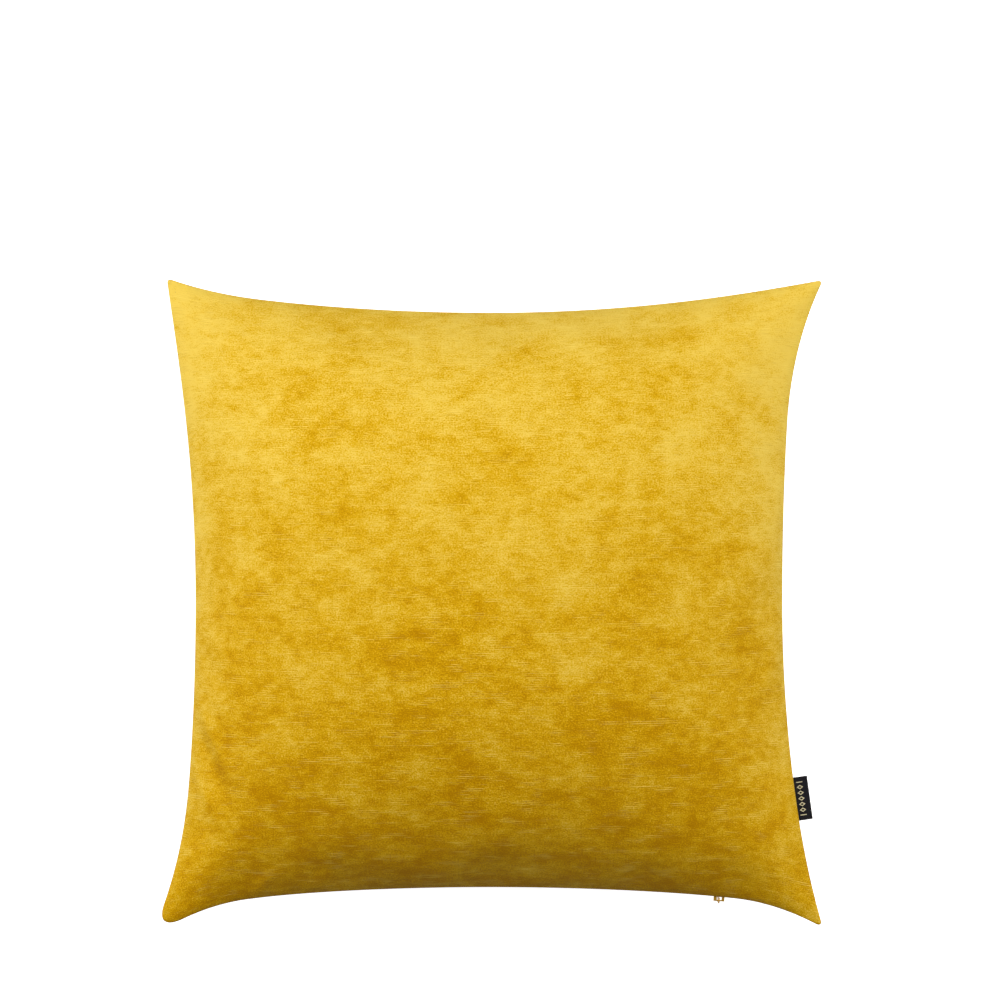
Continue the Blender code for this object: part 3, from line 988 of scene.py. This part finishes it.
@dataclass
class CoverCloth:
    """The cloth simulation that blows the two panels up between their seams."""

    form: PillowForm
    cells: int = 44
    frames: int = 30
    pressure: float = 5.5
    cap: float = 0.011
    spare: float = 0.022
    spare_middle: float = -0.003
    spare_reach: float = 0.05
    spare_runs: tuple[float, ...] = (5.0, 9.0, 14.0)
    spare_levels: int = 200
    uneven: float = 0.3
    phases: float = 6.3
    mass: float = 0.0004
    quality: int = 8
    stiffness: float = 40.0
    give: float = 8.0
    bending: float = 10.0
    damping: float = 8.0
    bending_damping: float = 0.5
    air_damping: float = 4.0
    easing: int = 2
    seed: int = 5

    def start(self) -> dict[Side, np.ndarray]:
        """Both panels before they are blown up, as grids that share their rims.

        Returns:
            Each panel's points.
        """
        axis = np.linspace(-1, 1, self.cells + 1)
        s, t = np.meshgrid(axis, axis)
        bare = Layer(0.0, 0.0, 0.0)
        return {side: self.form.smooth(side, s, t, bare) for side in Side}

    def run(self) -> None:
        """Runs the simulation and leaves each panel's movement, capped, in the form."""
        start = self.start()
        side = self.cells + 1
        inner = np.zeros((side, side), bool)
        inner[1:-1, 1:-1] = True
        front = np.arange(side * side).reshape(side, side)
        back = front.copy()
        back[inner] = side * side + np.arange(inner.sum())
        points = np.concatenate([start[Side.FRONT].reshape(-1, 3), start[Side.BACK][inner]])
        faces = np.concatenate([table_quads(front), table_quads(back)[:, ::-1]])
        piece = build_mesh("cloth_run", points, faces)
        pins = piece.vertex_groups.new(name="seams")
        pins.add(front[~inner].tolist(), 1.0, "REPLACE")
        self.add_spare(piece, front, back)
        moved = self.blown(piece)
        for which, table in ((Side.FRONT, front), (Side.BACK, back)):
            move = moved[table] - start[which]
            size = np.linalg.norm(move, axis=-1, keepdims=True)
            move *= self.cap * np.tanh(size / self.cap) / np.maximum(size, 1e-9)
            self.form.moves[which] = self.eased(move)
        mesh = piece.data
        bpy.data.objects.remove(piece)
        bpy.data.meshes.remove(mesh)

    def eased(self, move: np.ndarray) -> np.ndarray:
        """Takes out the grid's own ripple: inside the rim, each pass is the 1-2-1 mean along both ways.

        Args:
            move: the movement of each point of the grid.

        Returns:
            The same grid, eased.
        """
        for _ in range(self.easing):
            for axis in (0, 1):
                mean = (np.roll(move, 1, axis) + 2 * move + np.roll(move, -1, axis)) / 4
                move[1:-1, 1:-1] = mean[1:-1, 1:-1]
        return move

    def add_spare(self, piece: bpy.types.Object, front: np.ndarray, back: np.ndarray) -> None:
        """Marks how little spare cloth each point has: most is beside the seams, in uneven runs along them.

        The weight is 1 - exp(-gap / reach) (1 - uneven + uneven tanh(runs)), from the gap to the nearest seam
        and a sum of waves. A weight of 1 leaves the middle's share of spare cloth, and 0 the seams'.

        Args:
            piece: the cloth of both panels.
            front: the front panel's points, by number.
            back: the back panel's.
        """
        random = np.random.default_rng(self.seed)
        axis = np.linspace(-1, 1, self.cells + 1)
        s, t = np.meshgrid(axis, axis)
        gap = np.minimum((1 - np.abs(s)) * self.form.flat_width, (1 - np.abs(t)) * self.form.flat_height) / 2
        group = piece.vertex_groups.new(name="tight")
        for table in (back, front):
            runs = np.zeros_like(s)
            for count in self.spare_runs:
                phase_s, phase_t = random.uniform(0, self.phases, 2)
                runs += np.sin(s * count + phase_s) * np.sin(t * count + phase_t)
            share = np.exp(-gap / self.spare_reach) * (1 - self.uneven + self.uneven * np.tanh(runs))
            levels = np.round(np.clip(1 - share, 0, 1) * self.spare_levels).astype(int)
            for level in np.unique(levels).tolist():
                group.add(table[levels == level].tolist(), level / self.spare_levels, "REPLACE")

    def blown(self, piece: bpy.types.Object) -> np.ndarray:
        """Steps the simulation and returns the points of its last frame.

        Args:
            piece: the cloth of both panels.

        Returns:
            Its points in the last frame.
        """
        modifier = piece.modifiers.new("cloth", "CLOTH")
        cloth = modifier.settings
        cloth.quality = self.quality
        cloth.mass = self.mass
        cloth.tension_stiffness = self.stiffness
        cloth.compression_stiffness = self.give
        cloth.shear_stiffness = self.give
        cloth.bending_stiffness = self.bending
        cloth.tension_damping = cloth.compression_damping = cloth.shear_damping = self.damping
        cloth.bending_damping = self.bending_damping
        cloth.air_damping = self.air_damping
        cloth.use_pressure = True
        cloth.uniform_pressure_force = self.pressure
        cloth.effector_weights.gravity = 0
        cloth.vertex_group_mass = "seams"
        cloth.pin_stiffness = 1
        cloth.vertex_group_shrink = "tight"
        cloth.shrink_min, cloth.shrink_max = -self.spare, -self.spare_middle
        modifier.collision_settings.use_collision = False
        modifier.point_cache.frame_end = self.frames
        scene = bpy.context.scene
        scene.frame_start, scene.frame_end = 1, self.frames
        for number in range(1, self.frames + 1):
            scene.frame_set(number)
        evaluated = piece.evaluated_get(bpy.context.evaluated_depsgraph_get())
        points = np.empty(len(evaluated.data.vertices) * 3, np.float32)
        evaluated.data.vertices.foreach_get("co", points)
        scene.frame_set(1)
        return points.reshape(-1, 3).astype(float)


# ---------------------------------------------------------------------------------------------------------
# Sub-assemblies


@dataclass
class VelvetCover:
    """The cover: two closed shells of cloth, each with a rolled lip and a seam allowance turned inwards."""

    form: PillowForm
    cells: int = 188
    edge_share: float = 0.4
    cloth: float = 0.0011
    lip: float = 0.0012
    slit: float = 0.00045
    roll: float = 0.0009
    roll_steps: int = 4
    allowance: float = 0.0095
    zip_allowance: float = 0.0046
    fold: float = 0.0048
    fold_rise: float = 0.0004
    fill: float = 0.75

    @property
    def outer(self) -> Layer:
        """The skin that shows."""
        return Layer(0.0, self.lip, 0.0)

    @property
    def inner(self) -> Layer:
        """The cloth's wrong side."""
        return Layer(self.fold, self.lip + self.fold_rise, self.cloth)

    def axis(self) -> np.ndarray:
        """Places across the cloth, closer together towards the seams: a share of a sine and the rest even."""
        even = np.linspace(-1, 1, self.cells + 1)
        return self.edge_share * np.sin(even * math.pi / 2) + (1 - self.edge_share) * even

    def ring(self, side: Side, inset: float, height: float) -> np.ndarray:
        """A flat ring inside the seams, a point for each of a skin's rim; the zip's side stops earlier.

        Args:
            side: which panel.
            inset: how far inside the outline.
            height: how far from the seam's level.

        Returns:
            One row for each point.
        """
        s, t = np.meshgrid(self.axis(), self.axis())
        u, v = (axis.ravel()[rim_of(self.cells + 1)] for axis in self.form.parameters(s, t))
        outline = self.form.outline
        low = -1 + min(inset, self.zip_allowance) / outline.half_height
        high = 1 - inset / outline.half_height
        x, y = outline.at(u * (1 - inset / outline.half_width), low + (v + 1) / 2 * (high - low))
        return np.stack([x, y, np.full(len(x), self.form.level + side.value * height)], axis=-1)

    def panel(self, side: Side) -> tuple[np.ndarray, np.ndarray, np.ndarray, int]:
        """One panel's shell.

        The outer skin rolls over the lip by a quarter ellipse, (roll (1 - cos a), lip - (lip - slit) sin a),
        runs in along the slit to the end of the allowance, turns back by the cloth's thickness, and goes on
        as the inner skin.

        Args:
            side: which panel.

        Returns:
            Its points, its faces, each point's place on the cloth, and how many faces are pile.
        """
        axis = self.axis()
        count = len(axis)
        angles = np.linspace(0, math.pi / 2, self.roll_steps + 1)[1:]
        rings = [
            self.ring(side, self.roll * (1 - math.cos(a)), self.lip - (self.lip - self.slit) * math.sin(a))
            for a in angles
        ]
        rings.append(self.ring(side, self.allowance, self.slit))
        rings.append(self.ring(side, self.allowance, self.slit + self.cloth))
        skins = [self.form.skin(side, axis, axis, layer).reshape(-1, 3) for layer in (self.outer, self.inner)]
        points = np.concatenate([skins[0], *rings, skins[1]])
        rim = rim_of(count)
        starts = count**2 + len(rim) * np.arange(len(rings) + 1)
        loops = [rim, *(start + np.arange(len(rim)) for start in starts[:-1]), starts[-1] + rim]
        bands = [ring_quads(before, after) for before, after in zip(loops, loops[1:])]
        pile = np.concatenate([grid_quads(count, count), *bands[:-2]])
        faces = np.concatenate([pile, *bands[-2:], grid_quads(count, count, int(starts[-1]))[:, ::-1]])
        if side is Side.BACK:
            faces = faces[:, ::-1]
        s, t = np.meshgrid((axis + 1) / 2, (axis + 1) / 2)
        places = np.stack([s, t], axis=-1).reshape(-1, 2)
        cloth = np.concatenate([places, *[places[rim]] * len(rings), places])
        return points, faces, cloth, len(pile)

    def build(self) -> list[bpy.types.Object]:
        """Builds and dresses both panels.

        Returns:
            The two panels.
        """
        backing = Weave("velvet_backing", (0.50, 0.30, 0.03), (0.34, 0.19, 0.015)).material()
        size = (self.form.flat_width, self.form.flat_height)
        made = []
        for side, seed in ((Side.FRONT, 0.0), (Side.BACK, 3.7)):
            name = side.name.lower()
            points, faces, cloth, pile = self.panel(side)
            velvet = VelvetPile(f"velvet_{name}", *size, seed).material()
            which = (np.arange(len(faces)) >= pile).astype(int)
            piece = build_mesh(f"velvet_panel_{name}", points, faces, cloth, (velvet, backing), which)
            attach(piece, "cover")
            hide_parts(f"cover_{name}")
            made.append(piece)
        return made


@dataclass
class Insert:
    """The insert inside the cover: a cotton casing of two panels and its filling, nested under the cover."""

    form: PillowForm
    cells: int = 72
    inset: float = 0.017
    casing_rim: float = 0.0009
    gap: float = 0.0022
    cloth: float = 0.0006
    hem: float = 0.002
    filling_inset: float = 0.0228
    filling_rim: float = 0.0015
    filling_gap: float = 0.0002
    fill: float = 0.75

    @property
    def outer(self) -> Layer:
        """The casing's outside."""
        return Layer(self.inset, self.casing_rim, self.gap)

    def body(self, *skins: tuple[Side, Layer]) -> tuple[np.ndarray, np.ndarray]:
        """Points and faces of a closed body between two skins; the faces turn over for the back panel.

        Args:
            skins: the side and the layer of each of the two skins, outer one first.

        Returns:
            Its points and its faces.
        """
        axis = np.linspace(-1, 1, self.cells + 1)
        points = [self.form.skin(side, axis, axis, layer).reshape(-1, 3) for side, layer in skins]
        faces = lens_faces(len(axis))
        return np.concatenate(points), faces[:, ::-1] if skins[0][0] is Side.BACK else faces

    def build(self) -> list[bpy.types.Object]:
        """Builds and dresses the casing and the filling.

        Returns:
            The two casing panels and the filling.
        """
        cotton = Weave("insert_cotton", (0.88, 0.87, 0.84), (0.74, 0.73, 0.70)).material()
        inner = Layer(self.inset + self.hem, self.casing_rim - self.cloth, self.gap + self.cloth)
        made = []
        for side in Side:
            name = side.name.lower()
            body = self.body((side, self.outer), (side, inner))
            piece = build_mesh(f"casing_panel_{name}", *body, finishes=(cotton,))
            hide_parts(f"insert_casing_{name}")
            made.append(piece)
        layer = Layer(self.filling_inset, self.filling_rim, self.gap + 2 * self.cloth + self.filling_gap)
        fibre = LoftyFibre("fibre_fill").material()
        body = self.body((Side.FRONT, layer), (Side.BACK, layer))
        filling = build_mesh("fibre_filling", *body, finishes=(fibre,))
        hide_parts("insert_filling")
        made.append(filling)
        for piece in made:
            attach(piece, "cover")
        return made


@dataclass
class SideLabel:
    """A label folded from one length of woven ribbon: a loop out of the seam, and two tails sewn in."""

    hinge: Vector
    along: Vector
    length: float
    reach: float
    tail: float
    hinge_out: float = 0.0012
    ribbon: float = 0.00034
    loop_half: float = 0.00034
    tail_half: float = 0.00017
    droop: float = 0.0004
    opening: tuple[float, float] = (-0.0006, 0.0014)
    wave: float = 0.00012
    wave_length: float = 0.019
    wave_phase: float = 0.6
    face_middle: float = 0.58
    bend: float = 2.2
    steps: int = 96
    widths: int = 40

    @property
    def cut_length(self) -> float:
        """Length of ribbon that the label takes, from one tail's end to the other's."""
        return 2 * (self.reach + self.tail)

    def centreline(self) -> np.ndarray:
        """The folded ribbon's middle surface in section: distance outside the lip, and height.

        The distance goes out and back as |1 - 2 p| does, and the height is the loop's half thickness with
        the fold as a half circle; it narrows smoothly to the tails' thickness inside the lip.

        Returns:
            A distance and a height for each step along the ribbon.
        """
        p = np.linspace(0, 1, self.steps + 1)
        out = self.reach - self.ribbon / 2 - np.abs(1 - 2 * p) * (self.reach + self.tail)
        way = np.sign(1 - 2 * p)
        half = self.tail_half + (self.loop_half - self.tail_half) * smooth_step(out, *self.opening)
        near_fold = np.clip((out - (out.max() - self.loop_half)) / self.loop_half, 0, 1)
        height = way * half * np.sqrt(1 - near_fold**2)
        return np.stack([out, height - self.droop * np.clip(out / self.reach, 0, 1) ** 2], axis=-1)

    def build(self) -> bpy.types.Object:
        """Builds the ribbon with its thickness and dresses it.

        Returns:
            The label.
        """
        section = self.centreline()
        outward = self.along.cross(Vector(UP))
        lip = self.hinge - outward * self.hinge_out
        across = np.linspace(-self.length / 2, self.length / 2, self.widths + 1)
        wave = self.wave * np.sin(across * 2 * math.pi / self.wave_length + self.wave_phase)
        out = section[:, :1, None] * np.array(outward)
        run = across[None, :, None] * np.array(self.along)
        lift = np.clip(section[:, 0] / self.reach, 0, 1)[:, None] * wave[None, :] + section[:, 1:2]
        points = np.array(lip) + out + run + lift[..., None] * UP
        shares = (np.linspace(0, 1, count + 1) for count in (self.steps, self.widths))
        cloth = np.stack(np.meshgrid(*shares, indexing="ij"), axis=-1).reshape(-1, 2)
        faces = grid_quads(self.steps + 1, self.widths + 1)
        finish = WovenRibbon("label_ribbon", self.cut_length, self.length, self.reach * self.face_middle)
        piece = build_mesh("woven_side_label", points.reshape(-1, 3), faces, cloth, (finish.material(),))
        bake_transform(piece)
        wall = piece.modifiers.new("ribbon", "SOLIDIFY")
        wall.thickness = self.ribbon
        wall.offset = 0
        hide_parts("side_label", "side_label_tails")
        return piece


@dataclass
class CareLabel:
    """A small satin label sewn in inside the cover, lying between the cover and the insert."""

    form: PillowForm
    cover: VelvetCover
    insert: Insert
    places: tuple[tuple[float, float], tuple[float, float]] = ((-0.90, -0.78), (-0.50, -0.34))
    depth: float = 0.45
    thickness: float = 0.0002
    cells: int = 16

    def build(self) -> bpy.types.Object:
        """Builds the label as a sheet a share of the way from the cover to the insert.

        Returns:
            The label.
        """
        s, t = (np.linspace(low, high, self.cells + 1) for low, high in self.places)
        layers = (self.cover.inner, self.insert.outer)
        near, far = (self.form.skin(Side.FRONT, s, t, layer) for layer in layers)
        points = near + (far - near) * self.depth
        size = tuple(float(np.linalg.norm(points[index] - points[0, 0])) for index in ((0, -1), (-1, 0)))
        satin = Weave("care_satin", (0.88, 0.88, 0.86), (0.80, 0.80, 0.79), depth=0.00005, roughness=0.5)
        faces = grid_quads(len(t), len(s))
        piece = build_mesh("satin_care_label", points.reshape(-1, 3), faces, finishes=(satin.material(),))
        wall = piece.modifiers.new("satin", "SOLIDIFY")
        wall.thickness = self.thickness
        wall.offset = 0
        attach(piece, "cover")
        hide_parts("care_label")
        return piece


@dataclass
class ZipHardware:
    """The zip's slider and the pull that hangs from the slider's bar."""

    bar: Vector
    along: Vector
    thickness: float
    pull_length: float
    eye_inner: float = 0.0013
    eye_outer: float = 0.0022
    half_width: float = 0.0025
    bevel: float = 0.00018
    waist: float = 0.0001
    recess: float = 0.00016
    recess_rim: float = 0.0006
    recess_fade: float = 0.002
    eye_arc: tuple[float, float] = (-25.0, 205.0)
    eye_steps: int = 28
    end_steps: int = 24
    side_steps: int = 21
    bevel_steps: int = 3
    slider_bevel: float = 0.00016

    def outline(self) -> np.ndarray:
        """The pull's edge in its own plane, from a round eye at the origin down to a round end.

        Returns:
            Points round the edge, anticlockwise.
        """
        over = np.radians(np.linspace(*self.eye_arc, self.eye_steps + 1))
        under = np.radians(np.linspace(180, 360, self.end_steps + 1))
        end = -self.pull_length + self.half_width
        eye = self.eye_outer * np.stack([np.cos(over), np.sin(over)], axis=-1)
        tail = self.half_width * np.stack([np.cos(under), np.sin(under)], axis=-1) + (0, end)
        drop = np.linspace(0, 1, self.side_steps + 1)[1:-1, None]
        left = eye[-1] + (tail[0] - eye[-1]) * drop
        right = tail[-1] + (eye[0] - tail[-1]) * drop
        ease = np.sin(np.pi * drop[:, 0]) ** 2 * self.waist
        left[:, 0] += ease
        right[:, 0] -= ease
        return np.concatenate([eye, left, tail, right])

    def section(self, span: np.ndarray) -> tuple[list[np.ndarray], list[np.ndarray]]:
        """Rings across the pull's plate, from its eye round its outer edge and back.

        Args:
            span: distance from the eye to the outer edge, at each place round the outline.

        Returns:
            Each ring's distance from the eye's edge, and its height from the plate's middle.
        """
        half = self.thickness / 2
        turn = np.linspace(0, math.pi / 2, self.bevel_steps + 1)
        step, rise = self.bevel * (1 - np.cos(turn)), half - self.bevel + self.bevel * np.sin(turn)
        deep = self.recess * np.clip((span - 2 * self.recess_rim) / self.recess_fade, 0, 1)
        rim = np.minimum(self.recess_rim, span * 0.4)
        one = np.ones_like(span)
        top = [(step_k * one, rise_k * one) for step_k, rise_k in zip(step, rise)]
        top += [(rim, half * one), (rim * 1.25, half - deep)]
        top += [(span - rim * 1.25, half - deep), (span - rim, half * one)]
        top += [(span - step_k, rise_k * one) for step_k, rise_k in zip(step[::-1], rise[::-1])]
        rings = top + [(distance, -height) for distance, height in top[::-1]]
        return [distance for distance, _ in rings], [height for _, height in rings]

    def build_pull(self, metal: bpy.types.Material) -> bpy.types.Object:
        """Builds the pull as one closed band round its eye.

        Args:
            metal: the pull's material.

        Returns:
            The pull.
        """
        edge = self.outline()
        angle = np.arctan2(edge[:, 1], edge[:, 0])
        hole = self.eye_inner * np.stack([np.cos(angle), np.sin(angle)], axis=-1)
        span = np.linalg.norm(edge - hole, axis=1)
        way = (edge - hole) / span[:, None]
        distances, heights = self.section(span)
        flat = hole[None] + way[None] * np.array(distances)[..., None]
        inward = np.array(Vector(UP).cross(self.along))
        across = np.array(heights)[..., None] * np.array(self.along)
        points = np.array(self.bar) + flat[..., :1] * inward + flat[..., 1:] * UP + across
        rings, count = points.shape[:2]
        index = np.arange(rings * count).reshape(rings, count)
        faces = np.concatenate([ring_quads(index[k], index[(k + 1) % rings]) for k in range(rings)])
        piece = build_mesh("zip_pull_tab", points.reshape(-1, 3), faces, finishes=(metal,))
        face_outwards(piece)
        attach(piece, "zip_pull")
        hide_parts("zip_pull")
        return piece

    def build_slider(self, metal: bpy.types.Material) -> bpy.types.Object:
        """Builds the slider's body from its merged solid, with its edges broken.

        Args:
            metal: the slider's material.

        Returns:
            The slider.
        """
        mesh = frame["nodes"]["zip_slider"].data.copy()
        mesh.name = "zip_slider_body"
        work = bmesh.new()
        work.from_mesh(mesh)
        bmesh.ops.remove_doubles(work, verts=work.verts, dist=1e-6)
        bmesh.ops.dissolve_limit(work, angle_limit=math.radians(2), verts=work.verts, edges=work.edges)
        work.to_mesh(mesh)
        work.free()
        mesh.materials.clear()
        mesh.materials.append(metal)
        piece = bpy.data.objects.new("zip_slider_body", mesh)
        bpy.context.scene.collection.objects.link(piece)
        edges = piece.modifiers.new("edges", "BEVEL")
        edges.width = self.slider_bevel
        edges.segments = self.bevel_steps
        edges.limit_method = "ANGLE"
        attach(piece, "zip_slider")
        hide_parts("zip_slider")
        return piece

    def build(self) -> list[bpy.types.Object]:
        """Builds and dresses the slider and its pull."""
        metal = LacqueredZinc("lacquered_zinc").material()
        return [self.build_slider(metal), self.build_pull(metal)]


def face_outwards(piece: bpy.types.Object) -> None:
    """Turns a closed mesh's faces outwards.

    Args:
        piece: the object whose mesh it is.
    """
    work = bmesh.new()
    work.from_mesh(piece.data)
    bmesh.ops.recalc_face_normals(work, faces=work.faces)
    work.to_mesh(piece.data)
    work.free()


@dataclass
class SewnParts:
    """The threads, zip tapes, coils and stops, whose solids are right as they are and get their finishes."""

    thread: Colour = (0.55, 0.33, 0.03)
    thread_shade: Colour = (0.33, 0.18, 0.012)

    def build(self) -> list[bpy.types.Object]:
        """Dresses each of the frame's own nodes that still shows.

        Returns:
            The nodes.
        """
        mustard = TwistedThread("mustard_thread", self.thread, self.thread_shade).material()
        ribbed = Weave("zip_tape_weave", (0.50, 0.29, 0.02), (0.33, 0.18, 0.012), 0.0008, 0.0016, 0.00015)
        tape = ribbed.material()
        coil = NylonCoil("nylon_coil", (0.55, 0.33, 0.04), (0.20, 0.11, 0.01)).material()
        metal = LacqueredZinc("stop_metal").material()
        finishes = {
            "seam_": mustard, "bottom_seam_": mustard, "bartack_": mustard, "zip_stitch_": mustard,
            "insert_closing_": mustard, "zip_tape_": tape, "zip_coil_": coil, "zip_top_stop_": metal,
            "zip_bottom_stop": metal,
        }
        dressed = []
        for name, node in sorted(frame["nodes"].items()):
            for start, material in finishes.items():
                if name.startswith(start):
                    node.material_slots[0].material = material
                    dressed.append(node)
        return dressed


# ---------------------------------------------------------------------------------------------------------
# Studio


@dataclass(frozen=True)
class Softbox:
    """A square soft light that looks at the pillow's middle."""

    name: str
    place: tuple[float, float, float]
    size: float
    power: float
    colour: Colour

    def build(self, level: float) -> None:
        """Adds the light to the scene.

        Args:
            level: height of the pillow's middle.
        """
        lamp = bpy.data.lights.new(self.name, "AREA")
        lamp.shape = "SQUARE"
        lamp.size = self.size
        lamp.energy = self.power
        lamp.color = self.colour
        light = bpy.data.objects.new(self.name, lamp)
        light.location = self.place
        gaze = Vector((0, 0, level)) - Vector(self.place)
        light.rotation_euler = gaze.to_track_quat("-Z", "Y").to_euler()
        bpy.context.scene.collection.objects.link(light)


@dataclass
class Studio:
    """A pale floor, a soft key from beyond the upper seam, a light by each side, and a camera overhead."""

    level: float
    camera_x: float = 0.0066
    camera_y: float = 0.0739
    camera_height: float = 2.042
    lens: float = 100.0
    world: float = 0.19
    lights: tuple[Softbox, ...] = (
        Softbox("key", (0.1, 0.95, 2.05), 1.2, 27.0, (1.0, 0.985, 0.96)),
        Softbox("left", (-1.6, 0.35, 0.8), 1.0, 19.5, (1.0, 0.99, 0.97)),
        Softbox("right", (1.6, 0.35, 0.8), 1.0, 14.0, (1.0, 0.99, 0.97)),
    )
    floor_size: float = 6.0
    floor_glow: float = 0.88
    wall_radius: float = 5.4
    wall_height: float = 5.0
    wall_steps: int = 64
    wall_glow: float = 1.0

    def white(self, glow: float) -> bpy.types.Material:
        """Matt white that glows by itself, so that it stays pale away from the lights.

        Args:
            glow: how strongly it glows.

        Returns:
            The material.
        """
        material = bpy.data.materials.new("studio_white")
        graph = ShaderGraph(material)
        shade = graph.noise(graph.place(), (0.8,) * 3, 1.0)
        graph.finish({
            "Base Color": graph.mix(shade, (0.90, 0.90, 0.90), (0.92, 0.92, 0.92)),
            "Roughness": 0.9,
            "Specular IOR Level": 0.1,
            "Emission Color": (1.0, 1.0, 1.0, 1.0),
            "Emission Strength": glow,
        })
        return material

    def build_floor(self) -> None:
        """A plain pale floor that the pillow lies on, and a round wall of the same white far behind it."""
        axis = np.array([-self.floor_size, self.floor_size])
        x, y = np.meshgrid(axis, axis)
        points = np.stack([x, y, 0 * x], axis=-1).reshape(-1, 3)
        floor = build_mesh("studio_floor", points, grid_quads(2, 2), finishes=(self.white(self.floor_glow),))
        angle = np.linspace(0, 2 * math.pi, self.wall_steps + 1)[:-1]
        ring = self.wall_radius * np.stack([np.cos(angle), np.sin(angle), 0 * angle], axis=-1)
        index = np.arange(len(angle))
        faces = ring_quads(index + len(angle), index)
        points = np.concatenate([ring, ring + (0, 0, self.wall_height)])
        wall = build_mesh("studio_wall", points, faces, finishes=(self.white(self.wall_glow),))
        wall.visible_shadow = wall.visible_glossy = False
        for piece in (floor, wall):
            piece.visible_diffuse = False

    def build(self) -> None:
        """Sets up the floor, lights, surroundings and camera."""
        self.build_floor()
        for light in self.lights:
            light.build(self.level)
        scene = bpy.context.scene
        scene.world = bpy.data.worlds.new("studio")
        scene.world.use_nodes = True
        background = scene.world.node_tree.nodes["Background"]
        background.inputs["Color"].default_value = (1.0, 1.0, 1.0, 1.0)
        background.inputs["Strength"].default_value = self.world
        scene.view_settings.view_transform = "Standard"
        scene.view_settings.look = "None"
        data = bpy.data.cameras.new("camera")
        data.lens = self.lens
        camera = bpy.data.objects.new("camera", data)
        camera.location = (self.camera_x, self.camera_y, self.level + self.camera_height)
        scene.collection.objects.link(camera)
        scene.camera = camera


# ---------------------------------------------------------------------------------------------------------
# Assembly


def pillow_form() -> PillowForm:
    """The form of the pillow, with its overall sizes from the frame.

    Returns:
        The form, with no movement of the cloth yet.
    """
    low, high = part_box("cover_front")
    level = (low.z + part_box("cover_back")[1].z) / 2
    half_width, half_height = high.x, high.y
    outline = Outline(
        half_width,
        half_height,
        bottom=SeamLine(half_width, 0.025, (0.55, 0.55), (0.062, 0.062)),
        right=SeamLine(half_height, 0.026, (1.0, 0.45), (0.060, 0.105)),
        top=SeamLine(half_width, 0.024, (0.8, 1.0), (0.070, 0.060)),
        left=SeamLine(half_height, 0.023, (0.65, 1.0), (0.100, 0.060)),
        tip_radii={
            Tip.LOWER_LEFT: 0.019,
            Tip.LOWER_RIGHT: 0.005,
            Tip.UPPER_RIGHT: 0.004,
            Tip.UPPER_LEFT: 0.004,
        },
        tip_moves={
            Tip.LOWER_LEFT: (-0.0095, -0.0112),
            Tip.LOWER_RIGHT: (0.0040, -0.0050),
            Tip.UPPER_RIGHT: (0.0042, 0.0002),
            Tip.UPPER_LEFT: (0.0016, 0.0016),
        },
    )
    return PillowForm(outline, level, high.z - level)


def joint(name: str) -> dict:
    """A joint of the frame by its name."""
    return next(found for found in frame["joints"] if found["name"] == name)


def node_points(name: str) -> np.ndarray:
    """The points of one of the frame's nodes."""
    return np.array([vertex.co[:] for vertex in frame["nodes"][name].data.vertices])


def side_label() -> SideLabel:
    """The label where its hinge is, with its sizes from the frame.

    Returns:
        The label, not yet built.
    """
    flap = joint("label_flap")
    hinge, along = Vector(flap["pos_m"]), Vector(flap["axis"]).normalized()
    outward = np.array(along.cross(Vector(UP)))
    loop, tails = node_points("side_label"), node_points("side_label_tails")
    label = SideLabel(hinge, along, float(np.ptp(loop @ np.array(along))), 0.0, 0.0)
    label.reach = float(((loop - np.array(hinge)) @ outward).max()) + label.hinge_out
    label.tail = -float(((tails - np.array(hinge)) @ outward).min()) - label.hinge_out
    return label


def zip_hardware() -> ZipHardware:
    """The slider and pull where their bar is, with their sizes from the frame.

    Returns:
        The slider and pull, not yet built.
    """
    swing = joint("pull_swing")
    along = -Vector(swing["axis"]).normalized()
    points = node_points("zip_pull")
    thickness = float(np.ptp(points @ np.array(along)))
    bar = Vector(swing["pos_m"])
    return ZipHardware(bar, along, thickness, float(bar.z - points[:, 2].min()))


def main() -> None:
    """Builds every sub-assembly in order and reports its pieces."""
    logging.basicConfig(level=logging.INFO, format="%(message)s")
    form = pillow_form()
    CoverCloth(form).run()
    for side, moves in form.moves.items():
        most = np.linalg.norm(moves, axis=-1).max()
        LOG.info("cloth %s moved up to %.1f mm", side.name.lower(), most / MM)
    cover, insert = VelvetCover(form), Insert(form)
    parts = (cover, insert, side_label(), CareLabel(form, cover, insert), zip_hardware(), SewnParts())
    for part in parts:
        made = part.build()
        for piece in made if isinstance(made, list) else [made]:
            LOG.info("%s: %s, %d faces", type(part).__name__, piece.name, len(piece.data.polygons))
    Studio(form.level).build()


if __name__ == "__main__":
    main()
